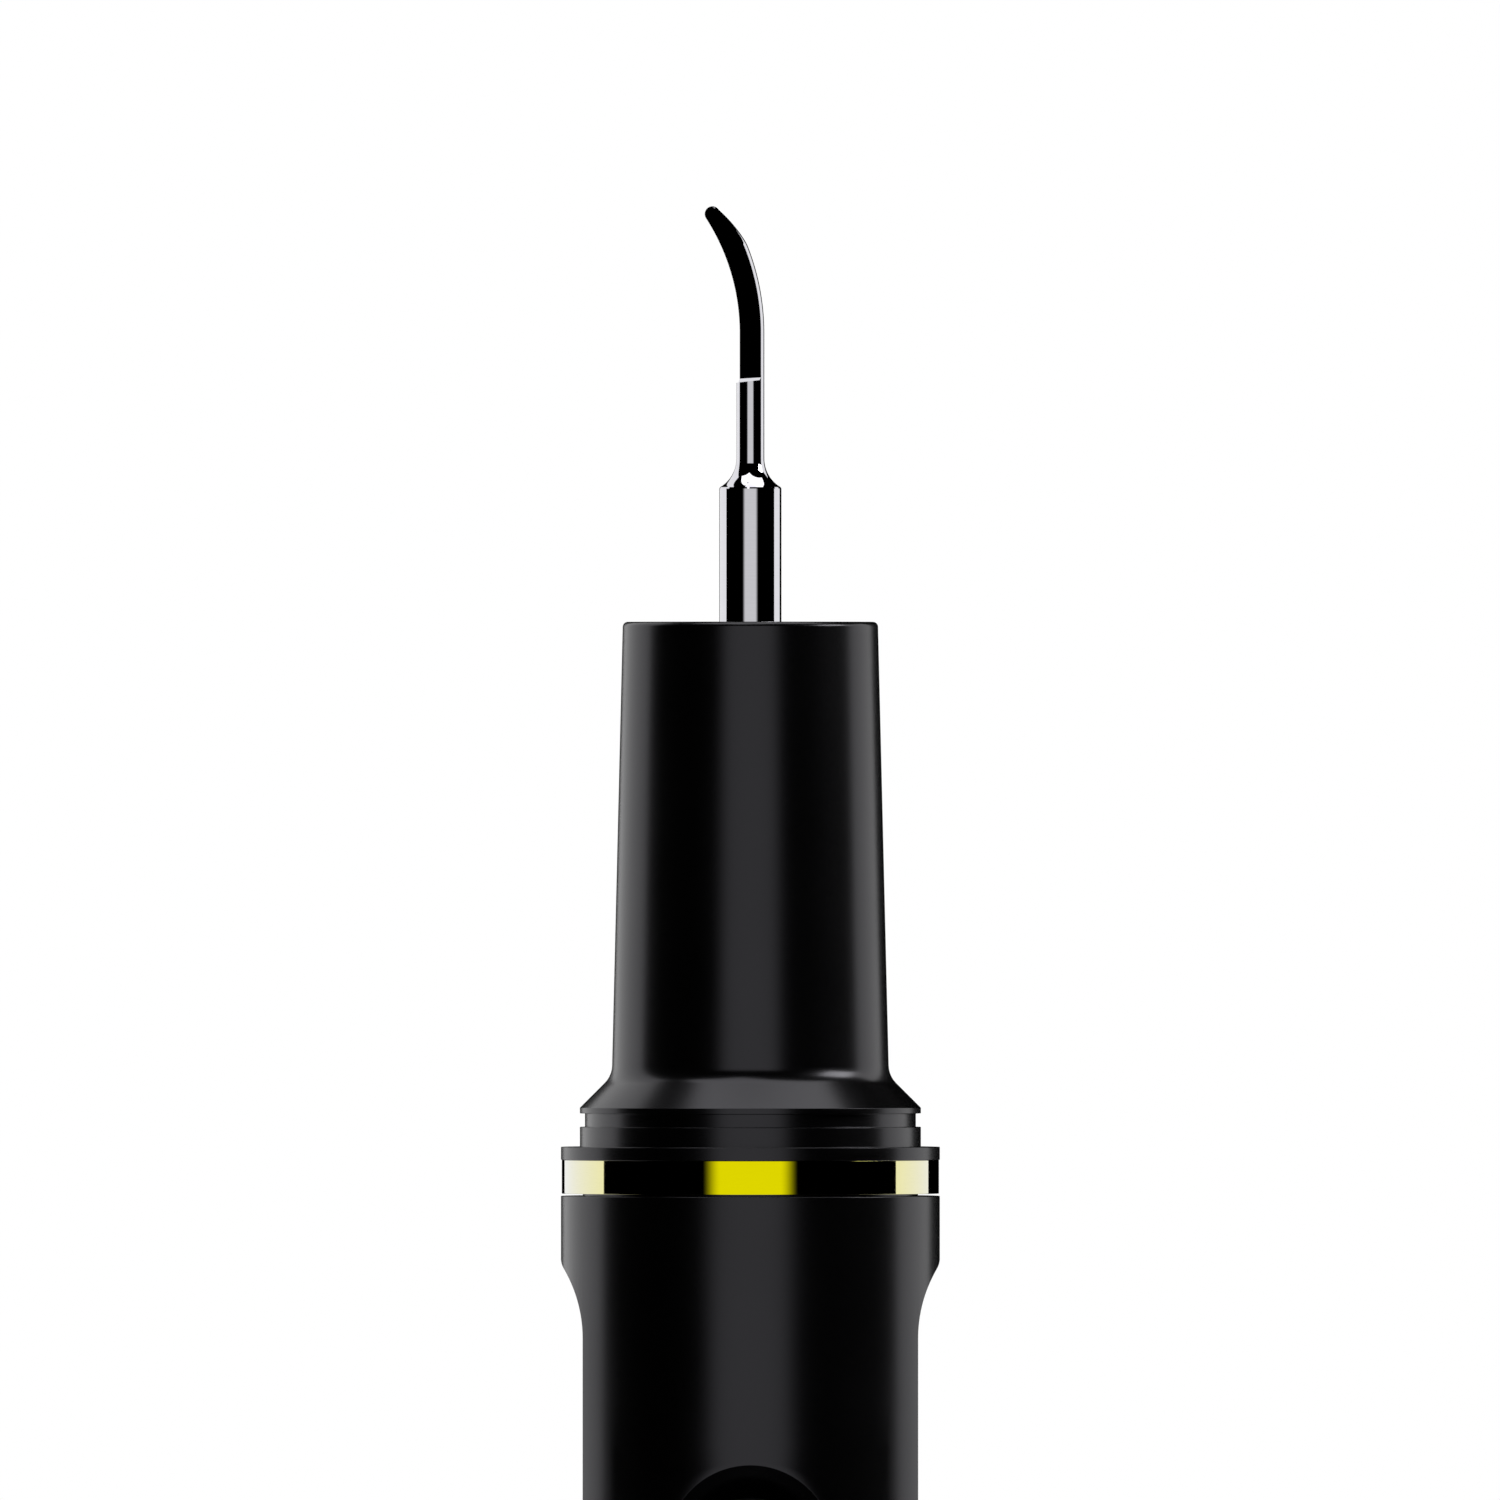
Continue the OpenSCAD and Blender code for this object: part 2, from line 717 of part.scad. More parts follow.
module battery_lead_positive() {
    color("red") battery_lead(battery_lead_x, cell_top - battery_lead_len - 0.1);
}

module battery_lead_negative() {
    color(black) battery_lead(-battery_lead_x, cell_z + 0.1);
}

module battery_pad() {
    color(silicone) translate([0, cell_y, 0])
        tube(cell_r - 1.5, pad_hole_r, cell_top + tab_t, pad_t);
}

// ---- Charging port ----
module port_board() {
    color(board_green) block([port_board_x - port_board_t, board_back, board_z],
        [port_board_x, port_boss_y - 1, floor_z - 0.3]);
}

module usb_shell() {
    color(steel) difference() {
        y_slot(port_w, port_len, port_z, port_back_y, port_mouth_y);
        y_slot(port_w - 2 * port_wall, port_len - 2 * port_wall, port_z,
            port_back_y + port_floor, port_mouth_y + cut);
    }
}

module usb_tongue() {
    color(chip_grey) block([-tongue_t / 2, port_back_y + port_floor, port_z - tongue_half],
        [tongue_t / 2, port_mouth_y - tongue_set_back, port_z + tongue_half]);
}

module port_gasket() {
    hole = port_gap / 2;
    color(silicone) difference() {
        y_slot(port_w + 2 * port_gasket_rim, port_len + 2 * port_gasket_rim, port_z,
            port_boss_y - port_gasket_t, port_boss_y);
        y_slot(port_w + 2 * hole, port_len + 2 * hole, port_z,
            port_boss_y - port_gasket_t - cut, port_boss_y + cut);
    }
}

module port_plug() {
    color(dark_plastic) {
        intersection() {
            block([-plug_w / 2, port_face_y + plug_back_gap, port_z - plug_h / 2],
                [plug_w / 2, shoulder_r + cut, port_z + plug_h / 2]);
            translate([0, 0, tail_h]) cylinder(r = shoulder_r - plug_flush, h = floor_z + plug_h);
        }
        y_slot(plug_tongue_w, plug_tongue_len, port_z,
            port_face_y + plug_back_gap - plug_tongue_out, port_face_y + plug_back_gap + merge);
    }
}

// ---- Nose ----
module nose_outline() {
    flare = collar_r - nose_root_r - root_fillet_r * (1 - cos(45));
    fillet_z = flare_z + flare + root_fillet_r * sin(45);
    polygon(concat(
        [[0, spigot_z], [spigot_r - spigot_edge, spigot_z], [spigot_r, spigot_z + spigot_edge],
         [spigot_r, flange_z], [shoulder_r, flange_z], [shoulder_r, collar_z],
         [collar_r, collar_z], [collar_r, collar_top], [groove_r, collar_top],
         [groove_r, lip_z], [collar_r, lip_z], [collar_r, flare_z]],
        arc(nose_root_r + root_fillet_r, fillet_z, root_fillet_r, 225, 180),
        arc(nose_tip_r - nose_edge_r, nose_top - nose_edge_r, nose_edge_r, 0, 90, 5),
        [[0, nose_top]]));
}

module nose_cone() {
    seal_groove_h = 2 * (nose_seal_tube_r + 1.5 * seal_side_gap);
    color(black) difference() {
        rotate_extrude() nose_outline();
        translate([0, 0, spigot_z - cut])
            cylinder(r = spigot_hollow_r, h = spigot_hollow_top - spigot_z + cut);
        translate([0, 0, spigot_z]) {
            cylinder(r = cavity_r, h = seat_z - spigot_z);
            cylinder(r = horn_room_r, h = nose_bore_z - spigot_z);
            cylinder(r = nose_bore_r, h = nose_top);
        }
        tube(spigot_r + cut, nose_seal_groove_r, nose_seal_z - seal_groove_h / 2, seal_groove_h);
    }
}

module accent_ring() {
    color([0.93, 0.85, 0.1])
        tube(shoulder_r - ring_set_back, spigot_r + ring_gap, ring_z, ring_h);
}

module nose_seal_ring() {
    color(silicone) o_ring(nose_seal_r, nose_seal_tube_r, nose_seal_z);
}

// ---- Transducer ----
// The shaft's foot spreads into the nodal flange along a parabola
module transducer_horn() {
    foot = [for (i = [0 : horn_cone_steps]) let (t = i / horn_cone_steps)
        [horn_shaft_r + (piezo_r - horn_shaft_r) * pow(1 - t, 2), node_top_z + horn_cone_h * t]];
    stud_top = horn_top_z + stud_len;
    color([0.6, 0.6, 0.62]) difference() {
        rotate_extrude() polygon(concat(
            [[0, stack_top_z], [piezo_r, stack_top_z], [piezo_r, node_z], [node_r, node_z],
             [node_r, node_top_z]],
            foot,
            [[horn_shaft_r, horn_top_z], [stud_r, horn_top_z], [stud_r, stud_top], [0, stud_top]]));
        translate([0, 0, stack_top_z - cut])
            cylinder(r = bolt_r + bolt_gap, h = cut + bolt_top_z + bolt_bore_end - stack_top_z);
    }
}

module horn_seal_front() {
    color(silicone) o_ring(horn_seal_r, horn_seal_tube_r, node_top_z + horn_seal_land / 2);
}

module horn_seal_rear() {
    color(silicone) o_ring(horn_seal_r, horn_seal_tube_r, node_z - horn_seal_land / 2);
}

module transducer_retainer() {
    color(dark_plastic) difference() {
        tube(cavity_r - fit_gap, retainer_in_r, retainer_z, retainer_h);
        for (turn = [0, 90]) rotate([0, 0, turn])
            block([-cavity_r, -retainer_slot / 2, retainer_z - cut],
                [cavity_r, retainer_slot / 2, retainer_z + 1]);
    }
}

// Rings and electrodes are counted from the horn downwards
module piezo_ring(i) {
    color([0.85, 0.82, 0.72])
        tube(piezo_r, piezo_bore_d / 2, stack_top_z - i * stack_pitch + electrode_t, piezo_t);
}

module electrode(i) {
    side = i % 2 == 1 ? 1 : -1;
    low = stack_top_z - i * stack_pitch;
    color(copper) {
        tube(piezo_r, piezo_bore_d / 2, low, electrode_t);
        rotate([0, 0, -90 + side * atan2(lead_x, -lead_y)])
            block([piezo_r - 0.4, -tab_w / 2, low], [tab_end_r, tab_w / 2, low + electrode_t]);
    }
}

module stack_sleeve() {
    end_gap = 0.05;
    color([0.9, 0.9, 0.85]) tube(piezo_bore_d / 2 - fit_gap, bolt_r + 0.1,
        rear_mass_top + end_gap, stack_count * stack_pitch - 2 * end_gap);
}

module rear_mass() {
    color(steel) tube(piezo_r, bolt_r + bolt_gap, rear_mass_z, rear_mass_len);
}

module stack_bolt() {
    color([0.4, 0.4, 0.42]) translate([0, 0, rear_mass_z]) difference() {
        union() {
            translate([0, 0, -bolt_head_h]) cylinder(r = bolt_head_r, h = bolt_head_h);
            translate([0, 0, -merge]) cylinder(r = bolt_r, h = bolt_top_z - rear_mass_z + merge);
        }
        translate([0, 0, -bolt_head_h - cut])
            cylinder(r = bolt_hex_r, h = bolt_hex_depth + cut, $fn = 6);
    }
}

// An insulated wire that runs straight down from the stack to the board's back face
module stack_lead(side) {
    low = board_top - lead_overlap;
    top = stack_top_z - stack_pitch + 2 * electrode_t;
    translate([side * lead_x, lead_y, low]) cylinder(r = lead_tube_r, h = top - low);
}

module stack_lead_positive() {
    color("red") stack_lead(1);
}

module stack_lead_negative() {
    color(black) stack_lead(-1);
}

// ---- Tip ----
// The blade's section: half of the neck's circle, behind a flat that faces the front left
module half_round() {
    rotate(-90 - blade_turn) difference() {
        circle(r = neck_r);
        translate([0, -2 * neck_r]) square([2 * neck_r, 4 * neck_r]);
    }
}

// Side view of the blade's end: the back closes in towards a round point
module blade_limits() {
    far = 30;
    start = -blade_taper_len;
    rotate([90, 0, 0]) linear_extrude(4 * shank_r, center = true) polygon(concat(
        [[-far, -far], [far, -far], [far, start], [neck_r, start]],
        arc(0, 0, blade_end_r, 0, 180),
        [[-neck_r, start], [-far, start]]));
}

module bent_blade() {
    translate([-blade_bend_r, 0, bend_z]) intersection() {
        union() {
            rotate([90, 0, 0]) rotate_extrude(angle = blade_bend)
                translate([blade_bend_r, 0]) mirror([0, 1]) half_round();
            rotate([0, -blade_bend, 0]) translate([blade_bend_r, 0, -merge])
                linear_extrude(blade_end_len + merge) half_round();
        }
        rotate([0, -blade_bend, 0])
            translate([blade_bend_r, 0, blade_end_len - blade_end_r]) blade_limits();
    }
}

module scaler_tip() {
    color(steel) {
        difference() {
            rotate_extrude() polygon(concat(
                [[0, tip_z], [shank_r - shank_foot, tip_z], [shank_r, tip_z + shank_foot],
                 [shank_r, shank_z - 2 * shank_edge]],
                arc(neck_r + neck_foot_r, neck_z, neck_foot_r, 180 + neck_foot_turn, 180),
                [[neck_r, blade_z], [0, blade_z]]));
            translate([0, 0, tip_z - cut])
                cylinder(r = thread_bore_d / 2, h = thread_depth + cut);
        }
        translate([0, 0, blade_z]) linear_extrude(blade_len) half_round();
        bent_blade();
    }
}

module tip_seal_ring() {
    color(silicone) o_ring(shank_r + tip_seal_gap + tip_seal_tube_r, tip_seal_tube_r, tip_seal_z);
}

foot_ring();
tail_cap();
tail_seal_ring();
tail_screws();
body_shell();
inner_frame();
frame_screws();
main_board();
controller_chip();
driver_chip();
charger_chip();
boost_inductor();
transformer_core();
transformer_winding();
bulk_capacitor();
status_leds();
indicator_lenses();
button_cap();
button_gasket();
switch_base();
switch_plunger();
battery_cell();
battery_tab(cell_z - tab_t);  // battery_tab_lower
battery_tab(cell_top);  // battery_tab_upper
battery_lead_positive();
battery_lead_negative();
battery_pad();
port_board();
usb_shell();
usb_tongue();
port_gasket();
port_plug();
nose_cone();
accent_ring();
nose_seal_ring();
transducer_horn();
horn_seal_front();
horn_seal_rear();
transducer_retainer();
piezo_ring(1);  // piezo_ring_1
piezo_ring(2);  // piezo_ring_2
piezo_ring(3);  // piezo_ring_3
piezo_ring(4);  // piezo_ring_4
electrode(1);  // electrode_1
electrode(2);  // electrode_2
electrode(3);  // electrode_3
electrode(4);  // electrode_4
stack_sleeve();
rear_mass();
stack_bolt();
stack_lead_positive();
stack_lead_negative();
scaler_tip();
tip_seal_ring();
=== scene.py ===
"""Looks of a cordless ultrasonic scaler handpiece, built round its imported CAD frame.

Lengths are millimetres along the frame's own axes: +Z runs from the base to the tip, and
the front, with the button, is -Y. Meshes are scaled to metres as they become pieces.
"""

from __future__ import annotations

import json
import logging
import math
from dataclasses import dataclass, field
from enum import Enum
from typing import Callable, Iterable, Sequence

import bmesh
import bpy
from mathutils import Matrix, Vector


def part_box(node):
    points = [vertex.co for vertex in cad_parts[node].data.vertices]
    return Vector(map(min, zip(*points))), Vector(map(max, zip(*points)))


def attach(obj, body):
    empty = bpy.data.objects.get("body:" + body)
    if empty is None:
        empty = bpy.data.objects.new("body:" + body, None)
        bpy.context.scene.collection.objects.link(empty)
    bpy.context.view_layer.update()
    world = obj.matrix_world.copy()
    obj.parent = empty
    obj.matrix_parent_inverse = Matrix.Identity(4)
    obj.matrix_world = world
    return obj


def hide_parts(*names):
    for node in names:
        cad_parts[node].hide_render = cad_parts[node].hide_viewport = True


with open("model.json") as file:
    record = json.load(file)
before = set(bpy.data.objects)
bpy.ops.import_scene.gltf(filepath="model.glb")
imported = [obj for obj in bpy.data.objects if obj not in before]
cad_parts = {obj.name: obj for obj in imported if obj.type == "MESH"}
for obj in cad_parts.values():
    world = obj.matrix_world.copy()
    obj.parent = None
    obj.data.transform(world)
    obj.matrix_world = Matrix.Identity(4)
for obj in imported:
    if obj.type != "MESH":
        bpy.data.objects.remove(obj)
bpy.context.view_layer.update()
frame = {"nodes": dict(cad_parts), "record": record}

Pair = tuple[float, float]
Point = tuple[float, float, float]
Colour = tuple[float, float, float]
Depth = Callable[[float], float]
# One ring of an opening: its outline, how far that is widened, and how far out it lies
Stage = tuple["Outline", float, Depth]

LOG = logging.getLogger("handpiece")
MM = 0.001
# Points closer than this, in metres, are one point
MERGE = 2e-7
# Largest turn between two points of a rounded corner, in degrees
ARC_STEP = 9.0
# An edge sharper than this stays a crease, in degrees
CREASE = 25.0
# Body that carries everything that doesn't move
HANDPIECE = "handpiece"
# How far a cutting block's outline runs past the piece that it cuts
LAP = 1.0
# Digits of a millimetre to which the rows of a grid are told apart
ROW_DIGITS = 6
# Steps of a full turn, for most turned pieces and for those with the widest highlights
TURN_STEPS, FINE_STEPS = 144, 192
# How far the button's flange stands out past its cap
FLANGE = 1.0
# Turn that brings a profile's own +Z round to face the front, in radians
TO_FRONT = (math.pi / 2, 0.0, 0.0)
# Range of a noise pattern that carries a surface from one tone to the other
NOISE_SPAN = (0.3, 0.7)


# ---- Places and outlines ----


@dataclass(frozen=True)
class Box:
    """Where a CAD node lies at rest, in millimetres."""

    low: Vector
    high: Vector

    @classmethod
    def of(cls, node: str) -> Box:
        """The box of the CAD node with this name."""
        low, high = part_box(node)
        return cls(low / MM, high / MM)

    @property
    def middle(self) -> Vector:
        """The box's centre."""
        return (self.low + self.high) / 2

    @property
    def half(self) -> Vector:
        """Half of the box's size along each axis."""
        return (self.high - self.low) / 2


def mount(name: str) -> dict:
    """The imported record's mount with this name."""
    return next(m for m in frame["record"]["mounts"] if m["name"] == name)


def spread(low: float, high: float, steps: int) -> list[float]:
    """Evenly spaced values from low to high, both included."""
    return [low + (high - low) * i / steps for i in range(steps + 1)]


def arc(centre: Pair, radius: float, start: float, end: float, steps: int) -> list[Pair]:
    """Points on an arc, both ends included.

    Args:
        centre: Centre of the arc.
        radius: Radius of the arc.
        start: Angle of the first point, in degrees.
        end: Angle of the last point, in degrees.
        steps: How many steps lie between them.

    Returns:
        The points in order.
    """
    turns = [math.radians(a) for a in spread(start, end, steps)]
    return [(centre[0] + radius * math.cos(a), centre[1] + radius * math.sin(a)) for a in turns]


def bow(half: float, height: float) -> Pair:
    """Radius and half angle, in degrees, of an arc this high over a chord of this half width."""
    radius = (half**2 + height**2) / (2 * height)
    return radius, math.degrees(math.asin(half / radius))


def lip_steps(radius: float, steps: int) -> list[Pair]:
    """Growth and depth of each ring round a lip, from the face that it leaves inwards."""
    turns = [math.radians(a) for a in spread(0.0, 90.0, steps)]
    return [(radius * (1 - math.sin(a)), radius * (1 - math.cos(a))) for a in turns]


def turned(x: float, y: float, turn: float) -> Pair:
    """A point turned about the axis by an angle in radians."""
    return x * math.cos(turn) - y * math.sin(turn), x * math.sin(turn) + y * math.cos(turn)


def around(radius: float, height: float, turns: Iterable[float]) -> list[Point]:
    """Points at one radius and height, one at each angle."""
    return [(radius * math.cos(a), radius * math.sin(a), height) for a in turns]


def rounded(corners: Sequence[Point], closed: bool = False, step: float = ARC_STEP) -> list[Pair]:
    """A chain of corners in which each corner is rounded by an arc that meets both sides.

    Args:
        corners: The corners, each with its two coordinates and its radius.
        closed: True if the last corner joins the first, which is then rounded as well.
        step: Largest turn between two points of a rounded corner, in degrees.

    Returns:
        The chain's points. The two ends of an open chain are kept as they are.
    """
    ring = [corners[-1], *corners, corners[0]] if closed else list(corners)
    points = [] if closed else [corners[0][:2]]
    for before, here, after in zip(ring, ring[1:], ring[2:]):
        corner, radius = Vector(here[:2]), here[2]
        if not radius:
            points.append(here[:2])
            continue
        back = (Vector(before[:2]) - corner).normalized()
        ahead = (Vector(after[:2]) - corner).normalized()
        half = back.angle(ahead) / 2
        centre = corner + (back + ahead).normalized() * radius / math.sin(half)
        first = corner + back * radius / math.tan(half) - centre
        turn = (math.pi - 2 * half) * math.copysign(1, ahead.cross(back))
        start, sweep = math.degrees(math.atan2(first.y, first.x)), math.degrees(turn)
        steps = max(2, math.ceil(abs(sweep) / step))
        points += arc(tuple(centre), radius, start, start + sweep, steps)
    return points if closed else [*points, corners[-1][:2]]


@dataclass(frozen=True)
class Outline:
    """A rectangle with round corners, of which a circle and a slot are cases."""

    across: float
    up: float
    half_w: float
    half_h: float
    corner: float

    @classmethod
    def circle(cls, across: float, up: float, radius: float) -> Outline:
        """A round outline."""
        return cls(across, up, radius, radius, radius)

    def ring(self, wide: int, tall: int, grow: float = 0.0) -> list[Pair]:
        """Points round the outline, counted from its lower left corner as a window's rim is.

        Args:
            wide: Steps along the lower side, and along the upper one.
            tall: Steps along each upright side.
            grow: How far the outline is widened all round.

        Returns:
            The points, anticlockwise.
        """
        radius = self.corner + grow
        flat_w, flat_h = self.half_w - self.corner, self.half_h - self.corner
        least_share = 0.2
        points = []
        for side in range(4):
            steps, flat, other = (wide, flat_w, flat_h) if side % 2 == 0 else (tall, flat_h, flat_w)
            bend = radius * math.pi / 4
            share = max(bend / (bend + flat), least_share) if flat > 0 else 1.0
            turn = math.radians(90 * side)
            for i in range(steps):
                place = 2 * i / steps - 1
                round_part = max(0.0, abs(place) - 1 + share) / share * math.pi / 4
                flat_part = flat * min(1.0, abs(place) / (1 - share)) if share < 1 else 0.0
                along = math.copysign(flat_part + radius * math.sin(round_part), place)
                out = other + radius * math.cos(round_part)
                points.append((
                    self.across + along * math.cos(turn) + out * math.sin(turn),
                    self.up + along * math.sin(turn) - out * math.cos(turn)))
        return points


@dataclass(frozen=True)
class Side:
    """One side of the handpiece, seen from outside: across it, up it and out from the axis."""

    angle: float

    def point(self, across: float, up: float, out: float) -> Point:
        """The point at this place on the side."""
        return (*turned(out, across, math.radians(self.angle)), up)

    def ring(self, outline: Outline, steps: tuple[int, int], depth: Depth,
             grow: float = 0.0) -> list[Point]:
        """An outline drawn on this side, as far out as a face lies."""
        return [self.point(u, v, depth(u)) for u, v in outline.ring(*steps, grow=grow)]

    def place(self, point: Point) -> Pair:
        """How far across and up the side a point lies."""
        turn = math.radians(self.angle)
        return point[1] * math.cos(turn) - point[0] * math.sin(turn), point[2]


FRONT = Side(-90.0)
BACK = Side(90.0)


def level(out: float) -> Depth:
    """A flat face at this distance from the axis."""
    return lambda across: out


def drum(radius: float, under: float = 0.0) -> Depth:
    """A round wall about the axis, or a face that runs a little under it."""
    return lambda across: math.sqrt(radius * radius - across * across) - under


def inner_of(a: Depth, b: Depth) -> Depth:
    """Whichever of two faces lies nearer to the axis."""
    return lambda across: min(a(across), b(across))


# ---- Meshes ----


class Skin:
    """The points and faces of a piece in the making, in millimetres."""

    def __init__(self) -> None:
        """Starts with nothing."""
        self.points: list[Point] = []
        self.faces: list[tuple[int, ...]] = []

    def row(self, points: Iterable[Point]) -> list[int]:
        """Adds points and returns their numbers."""
        first = len(self.points)
        self.points.extend(points)
        return list(range(first, len(self.points)))

    def bridge(self, rows: Sequence[Sequence[int]]) -> None:
        """Joins rows with bands of faces.

        Args:
            rows: The rows, each a closed one, in order.
        """
        for a, b in zip(rows, rows[1:]):
            for i in range(len(a)):
                j = (i + 1) % len(a)
                self.faces.append((a[i], a[j], b[j], b[i]))

    def cap(self, row: Sequence[int]) -> None:
        """Closes a row with a fan of faces round its middle.

        Args:
            row: The row's points.
        """
        middle = sum((Vector(self.points[i]) for i in row), Vector((0, 0, 0))) / len(row)
        hub = self.row([tuple(middle)])[0]
        self.faces += [(a, b, hub) for a, b in zip(row, [*row[1:], row[0]])]

    def stack(self, rings: Sequence[Sequence[Point]]) -> None:
        """Makes a closed solid from a stack of rings.

        Args:
            rings: The points of each ring, from one end to the other.
        """
        rows = [self.row(ring) for ring in rings]
        self.bridge(rows)
        self.cap(rows[0])
        self.cap(rows[-1])

    def mesh(self, name: str) -> bpy.types.Mesh:
        """The finished mesh, in metres."""
        made = bpy.data.meshes.new(name)
        made.from_pydata([[c * MM for c in p] for p in self.points], [], self.faces)
        return made


def solid(name: str, rings: Sequence[Sequence[Point]]) -> bpy.types.Mesh:
    """The mesh of a closed stack of rings."""
    skin = Skin()
    skin.stack(rings)
    return skin.mesh(name)


class Turned(Skin):
    """A solid turned about Z on a grid of rows and columns, in which windows can be opened."""

    columns = TURN_STEPS

    def __init__(self, profile: Sequence[Pair]) -> None:
        """Lays out the grid.

        Args:
            profile: Radius and height of each row. The solid is a ring, whose last row joins
                the first, unless the profile begins on the axis.
        """
        super().__init__()
        turns = [math.tau * i / self.columns for i in range(self.columns)]
        self.rows = [self.row(around(r, z, turns)) for r, z in profile]
        self.ring = profile[0][0] > 0
        self.open: set[tuple[int, int]] = set()

    def at(self, row: int, column: int) -> int:
        """The number of the point in this row and column."""
        return self.rows[row][column % self.columns]

    def window(self, side: Side, half: int, low: int, high: int) -> list[int]:
        """Opens a window in the grid.

        Args:
            side: The side on which it is centred.
            half: Columns on either side of its middle.
            low: Row along its lower edge.
            high: Row along its upper edge, which may be counted backwards.

        Returns:
            The points of its rim, from the lower left corner, anticlockwise from outside.
        """
        middle = round(side.angle / 360 * self.columns)
        left, right = middle - half, middle + half
        step = 1 if high > low else -1
        for row in range(low, high, step):
            self.open |= {(min(row, row + step), c % self.columns) for c in range(left, right)}
        return [
            *(self.at(low, c) for c in range(left, right)),
            *(self.at(r, right) for r in range(low, high, step)),
            *(self.at(high, c) for c in range(right, left, -1)),
            *(self.at(r, left) for r in range(high, low, -step))]

    def tunnel(self, rims: tuple[list[int], list[int]], rings: Sequence[Sequence[Point]]) -> None:
        """Joins the rims of two windows through rings of points."""
        self.bridge([rims[0], *(self.row(ring) for ring in rings), rims[1]])

    def close(self) -> None:
        """Makes the faces of the grid, except in its windows."""
        count = len(self.rows)
        for row in range(count if self.ring else count - 1):
            for column in range(self.columns):
                if (row, column) not in self.open:
                    after = (row + 1) % count
                    self.faces.append((
                        self.at(row, column), self.at(row, column + 1),
                        self.at(after, column + 1), self.at(after, column)))


def settle(mesh: bpy.types.Mesh) -> None:
    """Merges doubled points, drops loose ones and turns every face outwards.

    Args:
        mesh: The mesh, which is changed in place.
    """
    work = bmesh.new()
    work.from_mesh(mesh)
    bmesh.ops.remove_doubles(work, verts=work.verts, dist=MERGE)
    loose = [v for v in work.verts if not v.link_faces]
    bmesh.ops.delete(work, geom=loose, context="VERTS")
    bmesh.ops.recalc_face_normals(work, faces=work.faces)
    work.to_mesh(mesh)
    work.free()
    mesh.shade_smooth()
    mesh.set_sharp_from_angle(angle=math.radians(CREASE))


def link(name: str, data: bpy.types.ID) -> bpy.types.Object:
    """A new object in the scene, at the origin.

    Args:
        name: The object's name.
        data: Its mesh, light or camera.

    Returns:
        The object.
    """
    made = bpy.data.objects.new(name, data)
    bpy.context.scene.collection.objects.link(made)
    return made


def applied(piece: bpy.types.Object) -> bpy.types.Mesh:
    """Turns what an object's modifiers make into a plain mesh, and removes them.

    Args:
        piece: The object.

    Returns:
        The plain mesh.
    """
    bpy.context.view_layer.update()
    graph = bpy.context.evaluated_depsgraph_get()
    made = bpy.data.meshes.new_from_object(
        piece.evaluated_get(graph), preserve_all_data_layers=True, depsgraph=graph)
    piece.modifiers.clear()
    return made


def drop(piece: bpy.types.Object) -> None:
    """Removes a helper object from the file."""
    bpy.data.objects.remove(piece, do_unlink=True)


@dataclass(frozen=True)
class FlatSides:
    """The two flat sides of the handpiece: one outline seen from the front, and its mirror."""

    chain: Sequence[Pair]
    # How far the cut-off blocks reach, past the body all round
    reach: float = 20.0

    def cutter(self, way: int) -> bpy.types.Object:
        """The block that lies outside one of the sides.

        Args:
            way: 1 for the right side, -1 for the left one.

        Returns:
            The block.
        """
        outline = [*self.chain, (self.reach, self.chain[-1][1]), (self.reach, self.chain[0][1])]
        skin = Skin()
        rows = [skin.row([(way * x, y, z) for x, z in outline]) for y in (-self.reach, self.reach)]
        skin.bridge(rows)
        skin.faces += [tuple(row) for row in rows]
        mesh = skin.mesh("side")
        settle(mesh)
        return link("side", mesh)

    def cut(self, mesh: bpy.types.Mesh) -> bpy.types.Mesh:
        """Cuts a round mesh flat on both sides.

        Args:
            mesh: The round mesh.

        Returns:
            The new mesh.
        """
        settle(mesh)
        piece = link("round", mesh)
        blocks = [self.cutter(way) for way in (-1, 1)]
        for block in blocks:
            slice_off = piece.modifiers.new("slice_off", "BOOLEAN")
            slice_off.object, slice_off.solver = block, "EXACT"
            slice_off.operation = "DIFFERENCE"
        made = applied(piece)
        for helper in (piece, *blocks):
            drop(helper)
        return made


# ---- Nodes ----


def wire(tree: bpy.types.NodeTree, node: bpy.types.Node,
         wires: dict[int | str, object]) -> bpy.types.Node:
    """Sets and links a node's inputs.

    Args:
        tree: The tree that the node is in.
        node: The node.
        wires: For each input, by name or number, a socket to link or a value to set.

    Returns:
        The same node.
    """
    for key, value in wires.items():
        if isinstance(value, bpy.types.NodeSocket):
            tree.links.new(value, node.inputs[key])
        else:
            node.inputs[key].default_value = value
    return node


def add_node(tree: bpy.types.NodeTree, kind: str, wires: dict[int | str, object],
             **settings: object) -> bpy.types.Node:
    """Adds a node to a tree.

    Args:
        tree: The tree.
        kind: The node's type.
        wires: What its inputs are set or linked to.
        settings: The node's own properties.

    Returns:
        The node.
    """
    made = tree.nodes.new(kind)
    for key, value in settings.items():
        setattr(made, key, value)
    return wire(tree, made, wires)


# ---- Geometry Nodes ----


